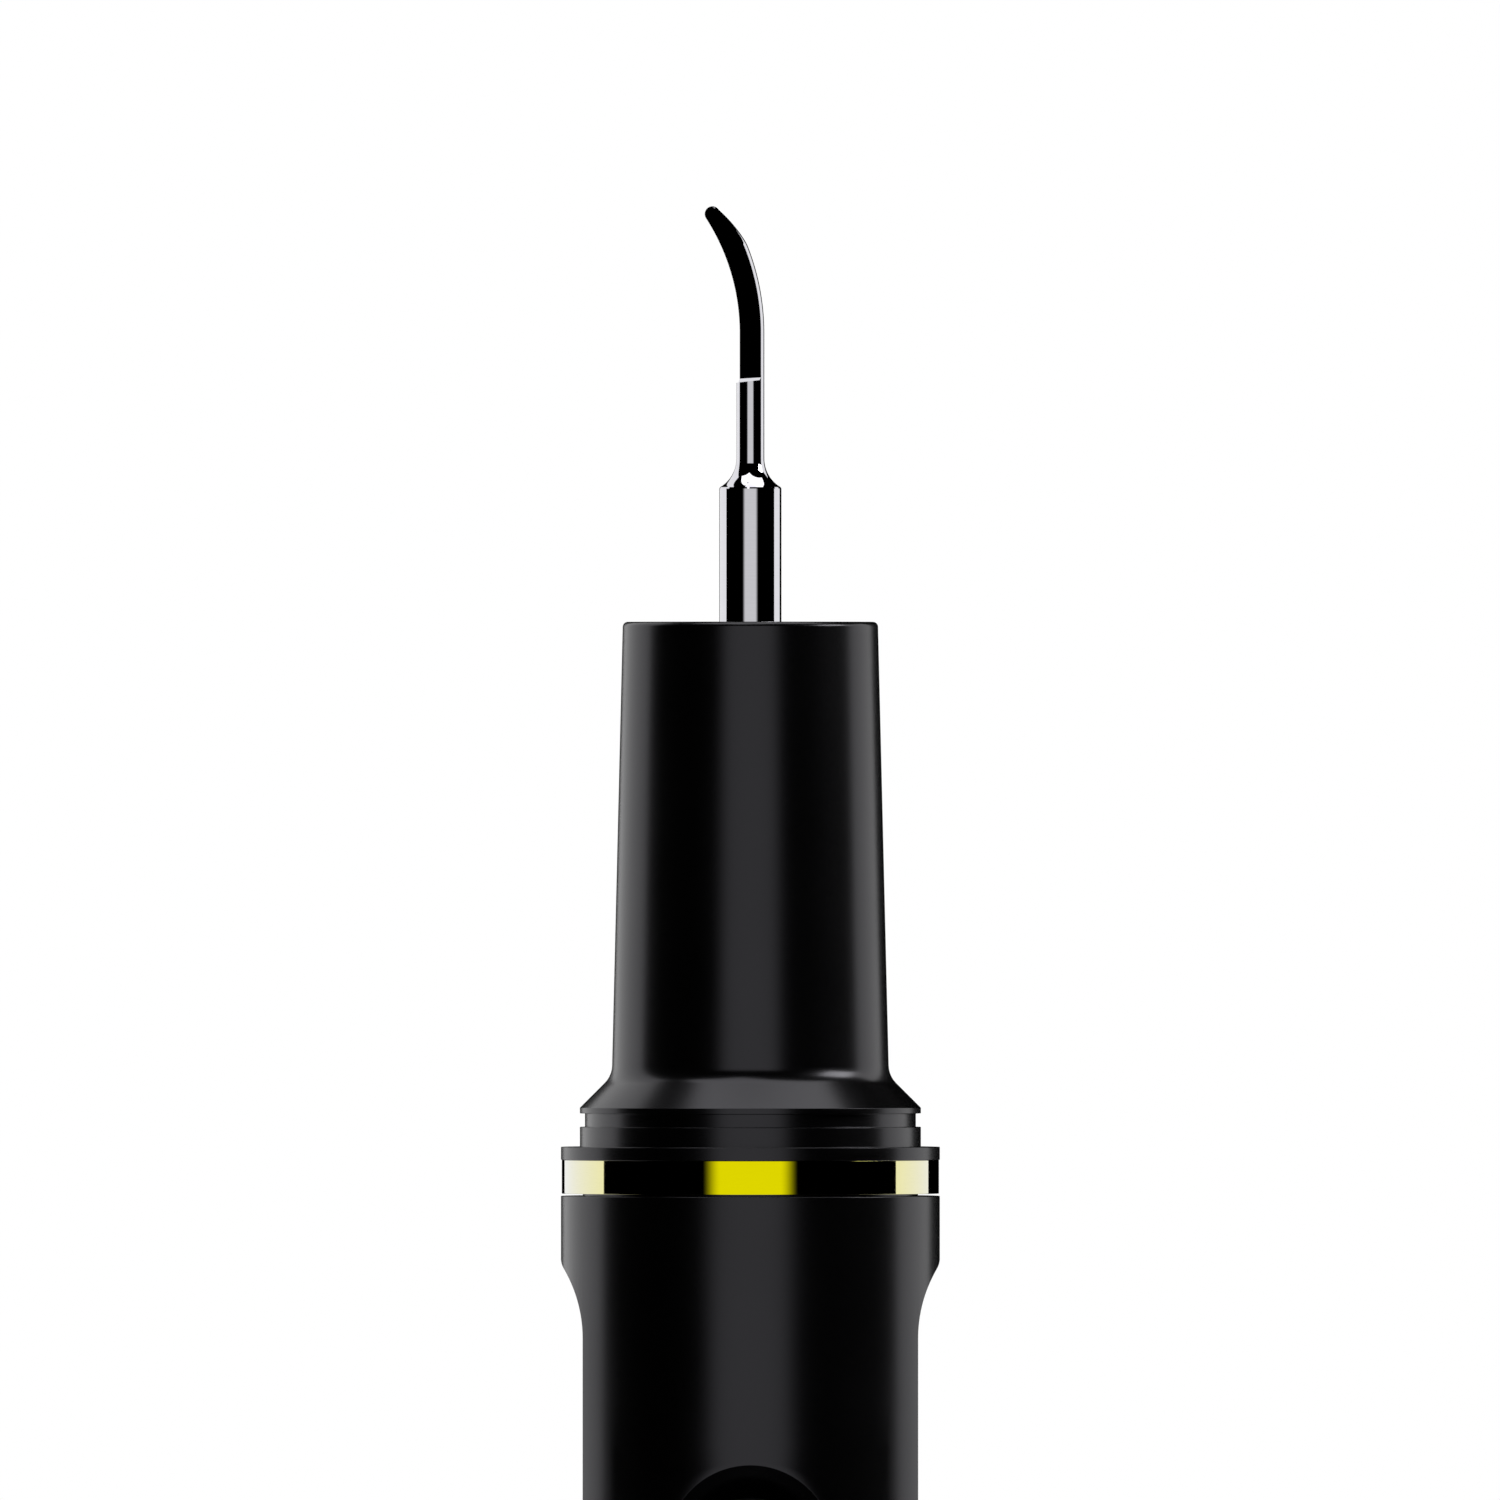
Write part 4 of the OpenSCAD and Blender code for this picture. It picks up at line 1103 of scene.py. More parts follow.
@dataclass
class Body:
    """The black flat-sided tube with its dish, its port pocket and its indicator windows."""

    shop: Shop
    wall: float = 1.52
    waist: float = 9.1
    waist_slope: float = 30.7
    waist_step: float = 2.5
    shoulder_edge: float = 1.35
    shoulder_band: float = 4.2
    lead_angle: float = 8.0
    rim_edge: float = 0.06
    parting_edge: float = 0.12
    socket_wall: float = 1.4
    dish_radius: float = 5.6
    dish_drop: float = 2.5
    dish_lip: float = 0.07
    dish_sink: float = 0.1
    dish_reach: float = 7.0
    button_gap: float = 0.1
    boss: float = 0.76
    boss_lap: float = 1.0
    pocket_gap: float = 0.15
    pocket_corner: float = 0.65
    pocket_lip: float = 0.1
    port_slot: Outline = Outline(0, 15.0, 1.75, 4.59, 1.75)
    port_boss: Outline = Outline(0, 15.3, 4.2, 6.2, 0.3)
    port_boss_out: float = 9.0
    port_boss_edge: float = 0.2
    port_margin: float = 0.7
    slot_lip: float = 0.08
    slot_land: float = 0.5
    shell_sink: float = 0.1
    lens_gap: float = 0.05
    lens_crown: float = 0.08
    lens_steps: int = 48
    foot_row: float = 0.5
    grip_row: float = 50.0
    crown_row: float = 3.0
    blend: Sequence[float] = (0.3, 0.6, 0.85)
    # Half of each opening's columns in the grid, and its steps in height
    port_grid: tuple[int, int] = (12, 30)
    dish_grid: tuple[int, int] = (18, 32)
    lens_grid: tuple[int, int] = (3, 8)

    def build(self) -> None:
        """Builds the shell and the lenses in its windows."""
        self.box, self.grip = Box.of("body_shell"), Box.of("tail_cap").high.x
        self.round = self.box.high.x
        self.bore = self.grip - self.wall
        self.shop.piece("body_shell", self.shell(), "black_plastic", nodes=["body_shell"])
        self.shop.piece("indicator_lenses", self.lenses(), "lens", nodes=["indicator_lenses"])

    def lens_places(self) -> tuple[float, list[float]]:
        """The lenses' radius and the heights of their centres, lowest first."""
        box = Box.of("indicator_lenses")
        return box.half.x, spread(box.low.z + box.half.x, box.high.z - box.half.x, 2)

    def upper(self, top_row: float) -> list[Pair]:
        """The round profile's upper end: the rim and the socket for the nose.

        Args:
            top_row: Height at which the grid's plain rows end.

        Returns:
            The profile from there, up the outside and down the bore.
        """
        top, seat = self.box.high.z, Box.of("nose_cone").low.z
        socket = self.round - self.socket_wall
        return rounded([
            (self.round, top_row, 0), (self.round, top, self.rim_edge),
            (socket, top, self.rim_edge), (socket, seat, 0), (self.bore, seat, 0),
            (self.bore, top_row, 0)])[1:-1]

    def sides(self) -> FlatSides:
        """The flat sides, which run out to the shoulder in a hollow and a rounded edge."""
        foot, top = self.box.low.z, self.box.high.z
        slope = math.radians(self.waist_slope)
        bend_z = top - self.shoulder_band - self.shoulder_edge * math.tan(slope / 2)
        start_z = bend_z - (self.round - self.grip) / math.tan(slope)
        edge_centre = (self.round - self.shoulder_edge, top - self.shoulder_band)
        edge = arc(edge_centre, self.shoulder_edge, -self.waist_slope, -self.lead_angle, 8)
        return FlatSides(rounded([
            (self.grip - LAP, foot - LAP / 2, 0), (self.grip, foot, self.parting_edge),
            (self.grip, start_z, self.waist), *((x, z, 0) for x, z in edge),
            (self.round + LAP, top - LAP, 0), (self.round + LAP, top + LAP, 0)],
            step=self.waist_step))

    def shell(self) -> bpy.types.Mesh:
        """The tube, turned on a grid, with the openings cut through its wall."""
        foot = self.box.low.z
        lens, heights = self.lens_places()
        half_pitch = (heights[1] - heights[0]) / 2
        dish_z, plug = Box.of("button_cap").middle.z, Box.of("port_plug")
        margin, reach = self.port_margin, self.dish_reach
        port = Window.over(BACK, self.port_grid, plug.low.z - margin, plug.high.z + margin)
        dish = Window.over(FRONT, self.dish_grid, dish_z - reach, dish_z + reach)
        lenses = [Window.over(FRONT, self.lens_grid, z - half_pitch, z + half_pitch)
                  for z in heights]
        rows = sorted({round(z, ROW_DIGITS) for z in [
            foot + self.foot_row, self.grip_row, dish.heights[-1] + self.crown_row,
            *(z for window in (port, dish, *lenses) for z in window.heights)]})
        upper = self.upper(rows[-1])
        lower = rounded([(self.bore, rows[0], 0), (self.bore, foot, 0),
                         (self.round, foot, self.parting_edge), (self.round, rows[0], 0)])[1:-1]
        skin = Turned([*((self.round, z) for z in rows), *upper,
                       *((self.bore, z) for z in reversed(rows)), *lower])
        inner_zero = 2 * len(rows) + len(upper) - 1

        def rims(window: Window) -> tuple[list[int], list[int]]:
            """Opens the outer and the inner wall over a window."""
            low, high = (rows.index(round(window.heights[end], ROW_DIGITS)) for end in (0, -1))
            return (skin.window(window.side, window.half, low, high),
                    skin.window(window.side, window.half, inner_zero - low, inner_zero - high))

        self.cut(skin, dish, rims(dish), *self.dish_stages(dish_z))
        for z, window in zip(heights, lenses):
            hole = Outline.circle(0, z, lens + self.lens_gap)
            self.cut(skin, window, rims(window), hole, self.lens_gap,
                     [(hole, 0.0, drum(self.bore))])
        self.cut(skin, port, rims(port), *self.port_stages(plug))
        skin.close()
        return self.sides().cut(skin.mesh("body_shell"))

    def cut(self, skin: Turned, window: Window, rims: tuple[list[int], list[int]],
            mouth: Outline, lip: float, stages: Sequence[Stage]) -> None:
        """Cuts one opening through the wall.

        Args:
            skin: The shell's grid.
            window: The patch of the grid in which the opening lies.
            rims: The patch's rims in the outer and the inner wall.
            mouth: The opening's outline in the outer wall.
            lip: Radius of the mouth's rounded lip.
            stages: What follows inwards.
        """
        side, steps = window.side, window.steps
        edge = mouth.ring(*steps, grow=lip)
        rim = [side.place(skin.points[i]) for i in rims[0]]
        outer = drum(self.round)
        rings = []
        for share in self.blend:
            between = [(a[0] + (b[0] - a[0]) * share, a[1] + (b[1] - a[1]) * share)
                       for a, b in zip(rim, edge)]
            rings.append([side.point(u, v, outer(u)) for u, v in between])
        rings += [side.ring(mouth, steps, drum(self.round, depth), grow)
                  for grow, depth in lip_steps(lip, 3)]
        rings += [side.ring(outline, steps, depth, grow) for outline, grow, depth in stages]
        skin.tunnel(rims, rings)

    def dish_stages(self, z: float) -> tuple[Outline, float, list[Stage]]:
        """The steep dish, the button's bore in its middle and the boss behind it.

        Args:
            z: Height of the dish's centre.

        Returns:
            The dish's mouth, its lip and what follows inwards.
        """
        dish, bore = self.dish_radius, button_radius() + self.button_gap
        edge_out = drum(self.round, self.dish_sink)(dish)
        floor_out = edge_out - self.dish_drop
        back_out = floor_out - self.boss
        boss = drum(self.bore)
        boss_radius = math.sqrt(self.bore**2 - back_out**2) + self.boss_lap
        chain = rounded([
            (dish, edge_out, 0), (bore, floor_out, self.dish_lip), (bore, back_out, 0),
            (boss_radius - self.boss_lap, back_out, 0)])
        rim = Outline.circle(0, z, boss_radius)
        return Outline.circle(0, z, dish), self.dish_lip, [
            *((Outline.circle(0, z, r), 0.0, level(out)) for r, out in chain),
            (rim, 0.0, inner_of(level(back_out), boss)), (rim, 0.0, boss)]

    def port_stages(self, plug: Box) -> tuple[Outline, float, list[Stage]]:
        """The pocket for the port cover and the slot for the charging plug.

        Args:
            plug: The cover's box.

        Returns:
            The pocket's mouth, its lip and what follows inwards.
        """
        gap, lip, slot, boss = self.pocket_gap, self.slot_lip, self.port_slot, self.port_boss
        pocket = Outline(0, plug.middle.z, plug.half.x + gap, plug.half.z + gap, self.pocket_corner)
        # The charging shell's mouth is just under the pocket's floor
        floor = Box.of("usb_shell").high.y + self.shell_sink
        back, bore = level(self.port_boss_out), drum(self.bore)
        return pocket, self.pocket_lip, [
            (pocket, 0.0, level(floor + lip)), (pocket, -lip, level(floor)),
            (pocket, -self.slot_land, level(floor)),
            *((slot, grow, level(floor - depth)) for grow, depth in lip_steps(lip, 2)),
            (slot, 0.0, back), (boss, -self.port_boss_edge, inner_of(back, bore)),
            (boss, 0.0, inner_of(back, bore)), (boss, 0.0, bore)]

    def lenses(self) -> bpy.types.Mesh:
        """Three domed windows down the front, one part repeated."""
        radius, heights = self.lens_places()
        box = Box.of("indicator_lenses")
        front, back = -box.low.y, -box.high.y
        dome_r, swing = bow(radius, self.lens_crown)
        dome = arc((0.0, front - dome_r), dome_r, 90 - swing, 90, 8)
        one = self.shop.turning.turn(
            [(0.0, back), (radius, back), *dome], self.shop.finish["lens"],
            steps=self.lens_steps, lean=TO_FRONT)
        return self.shop.repeats.copies(
            one, len(heights), (0.0, 0.0, heights[0]), (0.0, 0.0, heights[1] - heights[0]),
            self.shop.finish["lens"])


@dataclass
class Button:
    """The thumb button in the middle of the dish."""

    shop: Shop
    hollow: float = 0.25
    rim: float = 0.9
    edge: float = 0.3
    flange_t: float = 0.5
    flange_edge: float = 0.1
    steps: int = 128

    def build(self) -> None:
        """Builds the cap, turned about its own axis."""
        box = Box.of("button_cap")
        face, back, flange = -box.low.y, -box.high.y, box.half.x
        radius, step = button_radius(), back + self.flange_t
        bowl = radius - self.rim
        bowl_r, swing = bow(bowl, self.hollow)
        edge = rounded([
            (bowl, face, 0), (radius, face, self.edge), (radius, step, self.flange_edge),
            (flange, step, self.flange_edge), (flange, back, 0), (0.0, back, 0)])
        dip = arc((0.0, face - self.hollow + bowl_r), bowl_r, 270, 270 + swing, 10)
        mesh = self.shop.turning.turn(
            [*dip, *edge[1:]], self.shop.finish["soft_black"], steps=self.steps,
            lean=TO_FRONT, place=(0.0, 0.0, box.middle.z))
        self.shop.piece("button_cap", mesh, "soft_black", "button", ["button_cap"])


@dataclass
class ChargePort:
    """The charging socket in the back and the soft cover that swings down from it."""

    shop: Shop
    cover_corner: float = 0.5
    cover_edge: float = 0.3
    tongue: Pair = (0.9, 3.9)
    tongue_out: float = 1.2
    notch: Point = (1.9, 0.8, 0.45)
    shell_wall: float = 0.35
    contact: Point = (0.04, 2.4, 0.28)
    contacts: int = 12
    contact_pitch: float = 0.5
    contact_in: float = 0.35
    contact_corner: float = 0.015
    plug_tip: float = 0.3
    shell_edge: float = 0.08
    blade_corner: float = 0.1
    # Growth of each ring of the blade's nose, and how far back from its end the ring lies
    blade_nose: Sequence[Pair] = ((0.0, 0.09), (-0.03, 0.03), (-0.09, 0.0))
    cover_steps: tuple[int, int] = (40, 72)
    shell_steps: tuple[int, int] = (16, 40)
    blade_steps: tuple[int, int] = (12, 40)
    # How far from the middle each ring of the cover's face lies, beside its edge
    face_shares: Sequence[float] = (
        1.0, 0.985, 0.97, 0.95, 0.93, 0.91, 0.89, 0.87, 0.84, 0.7, 0.5, 0.3, 0.12)

    def build(self) -> None:
        """Builds the cover, the socket's shell and tongue, and the contacts."""
        self.shop.piece("port_cover", self.cover(), "soft_black", "port_cover", ["port_plug"])
        self.shop.piece("port_shell", self.shell(), "steel", nodes=["usb_shell"])
        self.shop.piece("port_tongue", self.blade(), "component_black", nodes=["usb_tongue"])
        self.shop.piece("port_contacts", self.pads(), "copper")

    def cover(self) -> bpy.types.Mesh:
        """The cover: a plate that follows the grip, with a plug tongue and a nail notch."""
        box = Box.of("port_plug")
        z = box.middle.z
        skin_out = drum(box.high.y)
        back = box.low.y + self.tongue_out
        plate = Outline(0, z, box.half.x, box.half.z, self.cover_corner)
        plug = Outline(0, z, self.tongue[0], self.tongue[1], self.tongue[0])
        steps = self.cover_steps
        half_w, tall, deep = self.notch

        def face(share: float) -> list[Point]:
            """A ring on the outer face, dented by the notch.

            Args:
                share: How far out it lies, beside the face's edge.

            Returns:
                The ring.
            """
            points = []
            for u, v in plate.ring(*steps, grow=-self.cover_edge):
                u, v = u * share, z + (v - z) * share
                reach = math.hypot(u / half_w, (v - box.high.z) / tall)
                dent = deep * max(0.0, 1 - reach * reach) ** 1.5
                points.append(BACK.point(u, v, skin_out(u) - dent))
            return points

        return solid("port_cover", [
            BACK.ring(plug, steps, level(box.low.y), -self.plug_tip),
            BACK.ring(plug, steps, level(box.low.y + self.plug_tip)),
            BACK.ring(plug, steps, level(back)), BACK.ring(plate, steps, level(back)),
            *(BACK.ring(plate, steps, drum(box.high.y, under), -inset)
              for under, inset in lip_steps(self.cover_edge, 4)[:-1]),
            *(face(share) for share in self.face_shares)])

    def shell(self) -> bpy.types.Mesh:
        """The socket's drawn steel shell, open towards the back."""
        box = Box.of("usb_shell")
        outer = Outline(0, box.middle.z, box.half.x, box.half.z, box.half.x)
        mouth, floor, back = box.high.y, Box.of("usb_tongue").low.y, box.low.y
        wall, edge = self.shell_wall, self.shell_edge
        return solid("port_shell", [
            BACK.ring(outer, self.shell_steps, level(out), grow)
            for grow, out in [(0.0, back), (0.0, mouth - edge), (-edge, mouth),
                              (edge - wall, mouth), (-wall, mouth - edge), (-wall, floor)]])

    def blade(self) -> bpy.types.Mesh:
        """The tongue that carries the contacts, with a rounded nose."""
        box = Box.of("usb_tongue")
        outline = Outline(0, box.middle.z, box.half.x, box.half.z, self.blade_corner)
        return solid("port_tongue", [
            BACK.ring(outline, self.blade_steps, level(box.low.y)),
            *(BACK.ring(outline, self.blade_steps, level(box.high.y - back), grow)
              for grow, back in self.blade_nose)])

    def pads(self) -> bpy.types.Mesh:
        """Contacts on both faces of the tongue, one pair repeated."""
        box = Box.of("usb_tongue")
        thick, long, wide = self.contact
        outer = box.high.y - self.contact_in
        pair = Skin()
        for side in (-1, 1):
            outline = Outline(side * (box.half.x + thick / 2), 0.0, thick / 2, wide / 2,
                              self.contact_corner)
            pair.stack([[(u, y, v) for u, v in outline.ring(8, 8)] for y in (outer - long, outer)])
        first = box.middle.z - (self.contacts - 1) * self.contact_pitch / 2
        return self.shop.repeats.copies(
            pair.mesh("contact"), self.contacts, (0.0, 0.0, first),
            (0.0, 0.0, self.contact_pitch), self.shop.finish["copper"])


@dataclass
class Nose:
    """The tapered nose cone with the collar for a cap, and the yellow accent ring."""

    shop: Shop
    root: float = 9.36
    tip: float = 8.62
    root_fillet: float = 1.7
    tip_edge: float = 0.35
    step_edge: float = 0.04
    flange_t: float = 0.88
    groove_depth: float = 0.34
    groove_h: float = 0.91
    lip_h: float = 0.38
    spigot_edge: float = 0.3
    seal_groove: Pair = (0.9, 0.58)
    mouth: Pair = (3.2, 6.78)
    horn_room: Pair = (5.6, 17.78)
    cavity: float = 6.9
    spigot_hollow: Pair = (9.2, 5.1)
    ring_edge: float = 0.03
    ring_gap: float = 0.03
    spigot_under: float = 1.48
    mouth_edge: float = 0.15

    def build(self) -> None:
        """Builds the cone and the ring."""
        shop = self.shop
        cone = shop.turning.turn(self.profile(), shop.finish["black_plastic"], steps=FINE_STEPS)
        shop.piece("nose_cone", cone, "black_plastic", nodes=["nose_cone"])
        ring = shop.rings.ring(
            Box.of("accent_ring"), self.spigot() + self.ring_gap, self.ring_edge,
            shop.finish["yellow_metal"])
        shop.piece("accent_ring", ring, "yellow_metal", nodes=["accent_ring"])

    def spigot(self) -> float:
        """The radius of the spigot that goes into the body."""
        return Box.of("body_shell").high.x - self.spigot_under

    def profile(self) -> list[Pair]:
        """The cone's section, up the outside and down through its bore."""
        box, ring = Box.of("nose_cone"), Box.of("accent_ring").high.z
        seat = mount("cap_seat")
        collar, land = seat["dims"]["r_mm"], seat["dims"]["length_mm"]
        flange, foot, top = box.high.x, box.low.z, box.high.z
        spigot = self.spigot()
        flange_top = ring + self.flange_t
        groove_z = flange_top + land
        lip_z = groove_z + self.groove_h
        flare_z = lip_z + self.lip_h
        groove = collar - self.groove_depth
        seal, half = Box.of("nose_seal_ring").middle.z, self.seal_groove[1]
        seal_in, under, over = spigot - self.seal_groove[0], seal - half, seal + half
        hollow, roof = self.spigot_hollow[0], foot + self.spigot_hollow[1]
        (mouth, mouth_deep), (room, room_deep) = self.mouth, self.horn_room
        edge = self.step_edge
        made = rounded([
            (hollow, foot, 0), (spigot, foot, self.spigot_edge), (spigot, under, 0),
            (seal_in, under, 0), (seal_in, over, 0), (spigot, over, 0), (spigot, ring, 0),
            (flange, ring, edge), (flange, flange_top, edge), (collar, flange_top, edge),
            (collar, groove_z, edge), (groove, groove_z, edge), (groove, lip_z, edge),
            (collar, lip_z, edge), (collar, flare_z, edge),
            (self.root, flare_z + collar - self.root, self.root_fillet),
            (self.tip, top, self.tip_edge), (mouth, top, self.mouth_edge),
            (mouth, top - mouth_deep, 0), (room, top - mouth_deep, 0), (room, top - room_deep, 0),
            (self.cavity, top - room_deep, 0), (self.cavity, roof, 0),
            (hollow, roof, 0)], closed=True)
        return [*made, made[0]]


@dataclass
class ScalerTip:
    """The polished tip: round shank, thin neck and a half-round blade that bends to one side."""

    shop: Shop
    shank: float = 2.1
    shank_top: float = 12.78
    shank_edge: Pair = (0.05, 0.1)
    foot_edge: float = 0.2
    thread: Pair = (1.5, 6.1)
    neck: float = 0.94
    neck_foot: float = 1.94
    neck_len: float = 5.22
    blade_len: float = 3.26
    bend_radius: float = 15.04
    bend: float = 32.8
    flat_turn: float = 40.0
    step_ramp: Pair = (0.15, 0.21)
    step_lean: float = 0.11
    taper: float = 2.9
    taper_curve: float = 1.3
    end_radius: float = 0.52
    # How far the bore's lead-in widens it, and its height
    lead_in: Pair = (0.15, 0.2)
    bore_end: float = 0.05
    # Where the last round ring lies before the flat, the first one after its ramp, and the
    # first one of the blade's even run, all counted from the flat's beginning
    run_in: float = -0.6
    ramp_end: float = 1.0
    run_start: float = 1.4
    stations: int = 48
    # Turns round the blade's end at which its rings lie, in degrees
    end_turns: Sequence[float] = (8, 16, 24, 32, 40, 48, 56, 64, 72, 79, 85, 88.5)
    columns: int = 96

    def build(self) -> None:
        """Builds the tip as one stack of rings."""
        base = Box.of("scaler_tip").low.z
        tip = solid("scaler_tip", [*self.shaft(base), *self.blade(base)])
        self.shop.piece("scaler_tip", tip, "polished_steel", "tip", ["scaler_tip"])

    @property
    def facing(self) -> float:
        """The way that the blade's flat faces, in radians."""
        return math.radians(-90.0 - self.flat_turn)

    @property
    def sweep(self) -> float:
        """The blade's bend, in radians."""
        return math.radians(self.bend)

    def turns(self) -> list[float]:
        """The columns' angles, counted from the way that the flat faces."""
        return [self.facing + math.tau * i / self.columns for i in range(self.columns)]

    def shaft(self, base: float) -> list[list[Point]]:
        """Rings from the threaded bore, down and round the foot, and up to the neck.

        Args:
            base: Height of the tip's foot.

        Returns:
            The rings.
        """
        (bore, deep), (lead, lead_h) = self.thread, self.lead_in
        top = base + self.shank_top
        radius, swing = bow(self.neck_foot, self.shank - self.shank_edge[0] - self.neck)
        profile = [
            (bore * self.bore_end, base + deep), (bore, base + deep), (bore, base + lead_h),
            (bore + lead, base), (self.shank - self.foot_edge, base),
            (self.shank, base + self.foot_edge), (self.shank, top - self.shank_edge[1]),
            *arc((self.neck + radius, top + self.neck_foot), radius, 180 + swing, 180, 16)]
        return [around(r, z, self.turns()) for r, z in profile]

    def section(self, limit: float) -> list[Pair]:
        """The neck's circle, cut by the flat.

        Args:
            limit: How far from the axis the flat lies.

        Returns:
            The section's points, across and back from the front.
        """
        points = []
        for a in self.turns():
            out = min(self.neck * math.cos(a - self.facing), limit)
            points.append(turned(out, self.neck * math.sin(a - self.facing), self.facing))
        return points

    def blade(self, base: float) -> list[list[Point]]:
        """Rings from the neck's step along the flat, round the bend and over the end.

        Args:
            base: Height of the tip's foot.

        Returns:
            The rings.
        """
        step_z = base + self.shank_top + self.neck_foot + self.neck_len
        depth, rise = self.step_ramp
        end = self.blade_len + self.sweep * self.bend_radius
        runs = [*spread(self.run_start, end, self.stations),
                *(end + self.end_radius * math.sin(math.radians(a)) for a in self.end_turns)]
        return [
            self.level_ring(self.neck, step_z + self.run_in, 0.0),
            self.level_ring(self.neck, step_z, 1.0),
            *(self.level_ring(depth * (1 - share), step_z + rise * share, 1 - share / 2)
              for share in spread(0.0, 1.0, 4)),
            self.level_ring(0.0, step_z + self.ramp_end, 0.0),
            *(self.station(step_z, run, end) for run in runs)]

    def level_ring(self, limit: float, z: float, lean: float) -> list[Point]:
        """A ring across the straight part, leant to the right by a share of the step's lean."""
        return [(x, y, z + x * self.step_lean * lean) for x, y in self.section(limit)]

    def station(self, step_z: float, run: float, end: float) -> list[Point]:
        """The blade's ring at one place along its path.

        Args:
            step_z: Height at which the flat begins.
            run: Distance along the path from there.
            end: Distance at which the round end's centre lies.

        Returns:
            The ring's points.
        """
        bent = min(max(run - self.blade_len, 0.0) / self.bend_radius, self.sweep)
        over = max(0.0, run - self.blade_len - self.sweep * self.bend_radius)
        upright = min(run, self.blade_len)
        centre_x = -self.bend_radius * (1 - math.cos(bent)) - over * math.sin(bent)
        centre_z = step_z + upright + self.bend_radius * math.sin(bent) + over * math.cos(bent)
        edge = self.neck * math.cos(math.radians(self.flat_turn))
        if run > end:
            half = math.sqrt(max(self.end_radius**2 - (run - end) ** 2, 0.0))
            left, right = half + edge - self.end_radius, half - edge + self.end_radius
        else:
            worn = (1 - min(1.0, (end - run) / self.taper)) ** self.taper_curve
            left, right = edge, self.neck - (edge + self.neck - 2 * self.end_radius) * worn
        scale = (left + right) / (edge + self.neck)
        shift = right - self.neck * scale
        points = []
        for x, y in self.section(0.0):
            across = x * scale + shift
            points.append((centre_x + across * math.cos(bent), y * scale,
                           centre_z + across * math.sin(bent)))
        return points


@dataclass
class Insides:
    """What stays as the CAD model has it: boards, cell, transducer, seals and wires."""

    shop: Shop

    def build(self) -> None:
        """Gives every CAD node that still shows the finish of its material slot."""
        slots = {s["node"]: s["material_slot"] for s in frame["record"]["subparts"]}
        for name, node in frame["nodes"].items():
            if node.hide_render:
                continue
            material = self.shop.finish[slots[name]].material()
            node.data.materials.clear()
            node.data.materials.append(material)
            LOG.info("%s: %s", name, material.name)


# ---- Studio ----


@dataclass(frozen=True)
class Softbox:
    """A tall curved light round the handpiece, which the camera doesn't see.

    Angles are seen from above: 0 is towards the camera and 90 is to its right. Heights and
    the distance are in metres.
    """

    name: str
    start: float
    end: float
    low: float
    high: float
    radiance: float
    fade: float = 0.0
    distance: float = 0.6
    steps: int = 24

    def build(self) -> None:
        """Builds the light as a glowing card."""
        card = bpy.data.meshes.new(self.name)
        points, shares = [], []
        for share in spread(0.0, 1.0, self.steps):
            angle = math.radians(self.start + (self.end - self.start) * share)
            for z in (self.low, self.high):
                points.append((
                    self.distance * math.sin(angle), -self.distance * math.cos(angle), z))
                shares.append(share)
        faces = [(2 * i, 2 * i + 2, 2 * i + 3, 2 * i + 1) for i in range(self.steps)]
        card.from_pydata(points, [], faces)
        map_uv = card.uv_layers.new(name="span")
        for corner in card.loops:
            map_uv.data[corner.index].uv = (shares[corner.vertex_index], 0.5)
        card.materials.append(self.glow())
        stage = link(self.name, card)
        stage.visible_camera = False
        stage.visible_shadow = False

    def glow(self) -> bpy.types.Material:
        """A glow that fades in and out at both ends of the card."""
        made = bpy.data.materials.new(self.name)
        made.use_nodes = True
        tree = made.node_tree
        tree.nodes.clear()
        glow = add_node(tree, "ShaderNodeEmission", {"Strength": self.radiance})
        add_node(tree, "ShaderNodeOutputMaterial", {"Surface": glow.outputs[0]})
        if self.fade:
            span = add_node(tree, "ShaderNodeUVMap", {}, uv_map="span").outputs[0]
            along = add_node(tree, "ShaderNodeSeparateXYZ", {0: span}).outputs["X"]
            ends = [
                add_node(tree, "ShaderNodeMapRange",
                         {"Value": along, "From Min": near, "From Max": far},
                         interpolation_type="SMOOTHSTEP").outputs[0]
                for near, far in ((0.0, self.fade), (1.0, 1.0 - self.fade))]
            both = add_node(tree, "ShaderNodeMath", {0: ends[0], 1: ends[1]}, operation="MULTIPLY")
            wire(tree, glow, {"Color": both.outputs[0]})
        return made


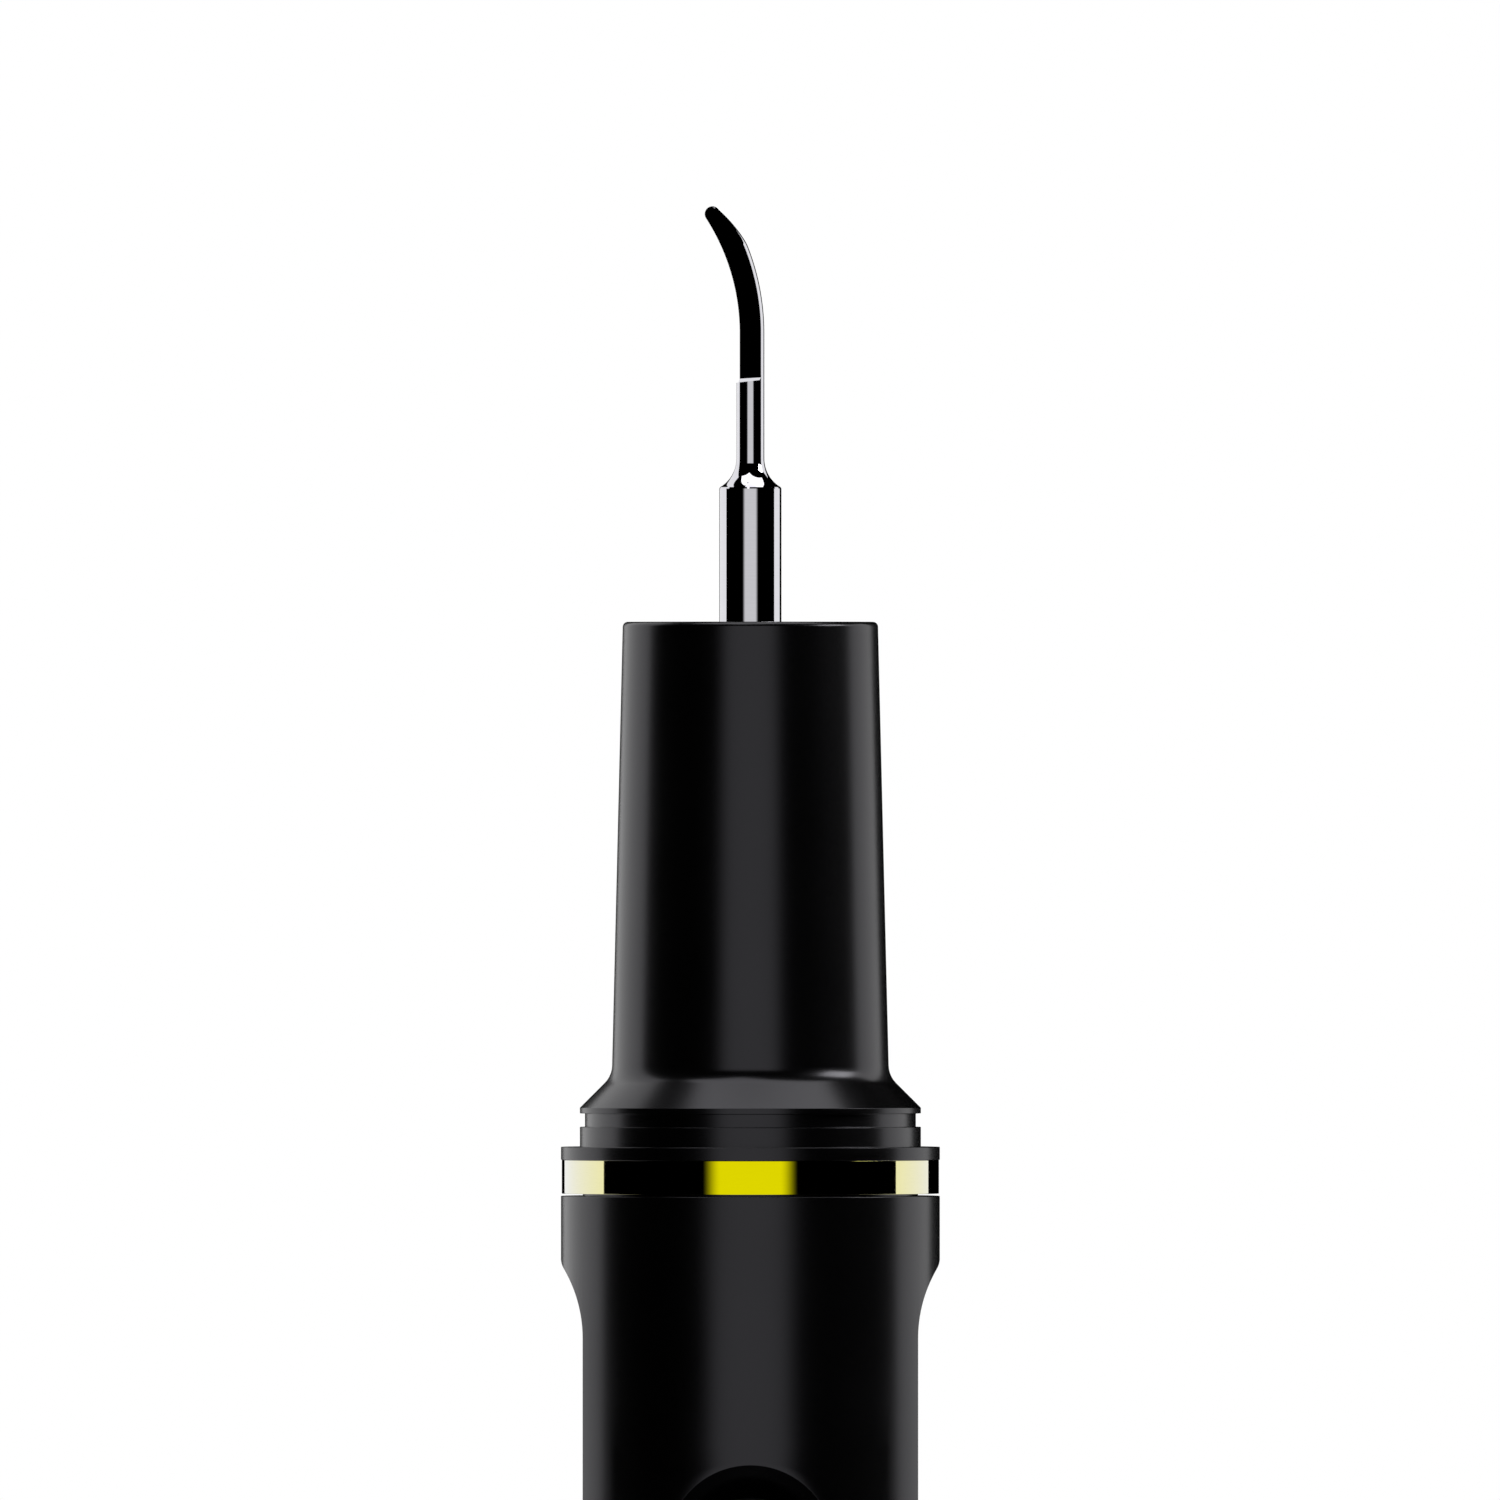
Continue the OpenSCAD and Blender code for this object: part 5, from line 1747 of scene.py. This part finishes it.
@dataclass
class Studio:
    """The pale floor, the lights, the white surroundings and the camera. Lengths in metres."""

    floor_half: float = 2.0
    picture_width: float = 0.10135
    lens: float = 1500.0
    sensor: float = 36.0
    eye: Point = (-0.000026, 0.0, 0.14812)
    aim: Point = (0.0, 0.0, 0.125)
    fill: float = 0.55
    # Nearest and farthest that the camera sees, beside its distance
    clip: Pair = (0.01, 10.0)

    def build(self) -> None:
        """Sets the whole studio up round the handpiece."""
        self.floor()
        self.lights()
        self.surroundings()
        self.camera()
        scene = bpy.context.scene
        scene.view_settings.view_transform = "Standard"
        scene.view_settings.look = "None"

    def floor(self) -> None:
        """A plain pale floor, left out of reflections."""
        half = self.floor_half
        sheet = bpy.data.meshes.new("floor")
        sheet.from_pydata([(-half, -half, 0), (half, -half, 0), (half, half, 0), (-half, half, 0)],
                          [], [(0, 1, 2, 3)])
        paint = Finish("floor_paint", (0.8, 0.8, 0.81), (0.82, 0.82, 0.83), (0.7, 0.8),
                       grain_mm=4.0, relief_mm=0.0, drift_mm=60.0)
        sheet.materials.append(paint.material())
        floor = link("floor", sheet)
        floor.visible_glossy = False

    def lights(self) -> None:
        """Three tall softboxes round the handpiece, one overhead and a small key light."""
        boxes = [
            Softbox("front_softbox", -29.0, 29.0, -2.0, 0.35, 0.74, fade=0.2),
            Softbox("left_softbox", -159.0, -101.0, -0.9, 0.85, 1.0),
            Softbox("right_softbox", 100.0, 140.0, -0.9, 0.5, 1.0)]
        for box in boxes:
            box.build()
        self.panel("top_light", (0.02, -0.02, 0.75), (0.76, 0.5), 1.7)
        self.panel("key_light", (0.537, -0.056, 0.43), (0.3, 0.2), 6.0)

    def panel(self, name: str, place: Point, size: Pair, radiance: float) -> None:
        """A flat light that looks at the handpiece.

        Args:
            name: Name of the light.
            place: Where it hangs.
            size: Its width and height.
            radiance: Brightness of its face.
        """
        lamp = bpy.data.lights.new(name, "AREA")
        lamp.shape = "RECTANGLE"
        lamp.size, lamp.size_y = size
        lamp.energy = radiance * math.pi * size[0] * size[1]
        light = link(name, lamp)
        aim = Vector(self.aim) - Vector(place)
        light.location = place
        light.rotation_euler = aim.to_track_quat("-Z", "Y").to_euler()
        light.visible_camera = False

    def surroundings(self) -> None:
        """White behind the handpiece, dark in its reflections, soft fill elsewhere."""
        world = bpy.data.worlds.new("studio")
        bpy.context.scene.world = world
        world.use_nodes = True
        tree = world.node_tree
        sky = next(n for n in tree.nodes if n.type == "BACKGROUND")
        rays = add_node(tree, "ShaderNodeLightPath", {}).outputs
        fill = add_node(tree, "ShaderNodeMath", {
            0: rays["Is Diffuse Ray"], 1: self.fill, 2: rays["Is Camera Ray"]},
            operation="MULTIPLY_ADD")
        wire(tree, sky, {"Color": (1, 1, 1, 1), "Strength": fill.outputs[0]})

    def camera(self) -> None:
        """A long lens, level with the nose, looking along +Y."""
        data = bpy.data.cameras.new("camera")
        data.lens, data.sensor_width = self.lens, self.sensor
        distance = self.picture_width * self.lens / self.sensor
        data.clip_start, data.clip_end = (distance * share for share in self.clip)
        eye = link("camera", data)
        eye.location = Vector(self.eye) - Vector((0, distance, 0))
        eye.rotation_euler = (math.pi / 2, 0, 0)
        bpy.context.scene.camera = eye


def main() -> None:
    """Builds the handpiece piece by piece, then the studio round it."""
    logging.basicConfig(level=logging.INFO, format="%(message)s")
    shop = Shop()
    for part in (Tail, Body, Button, ChargePort, Nose, ScalerTip, Insides):
        LOG.info("-- %s", part.__name__)
        part(shop).build()
    Studio().build()


if __name__ == "__main__":
    main()
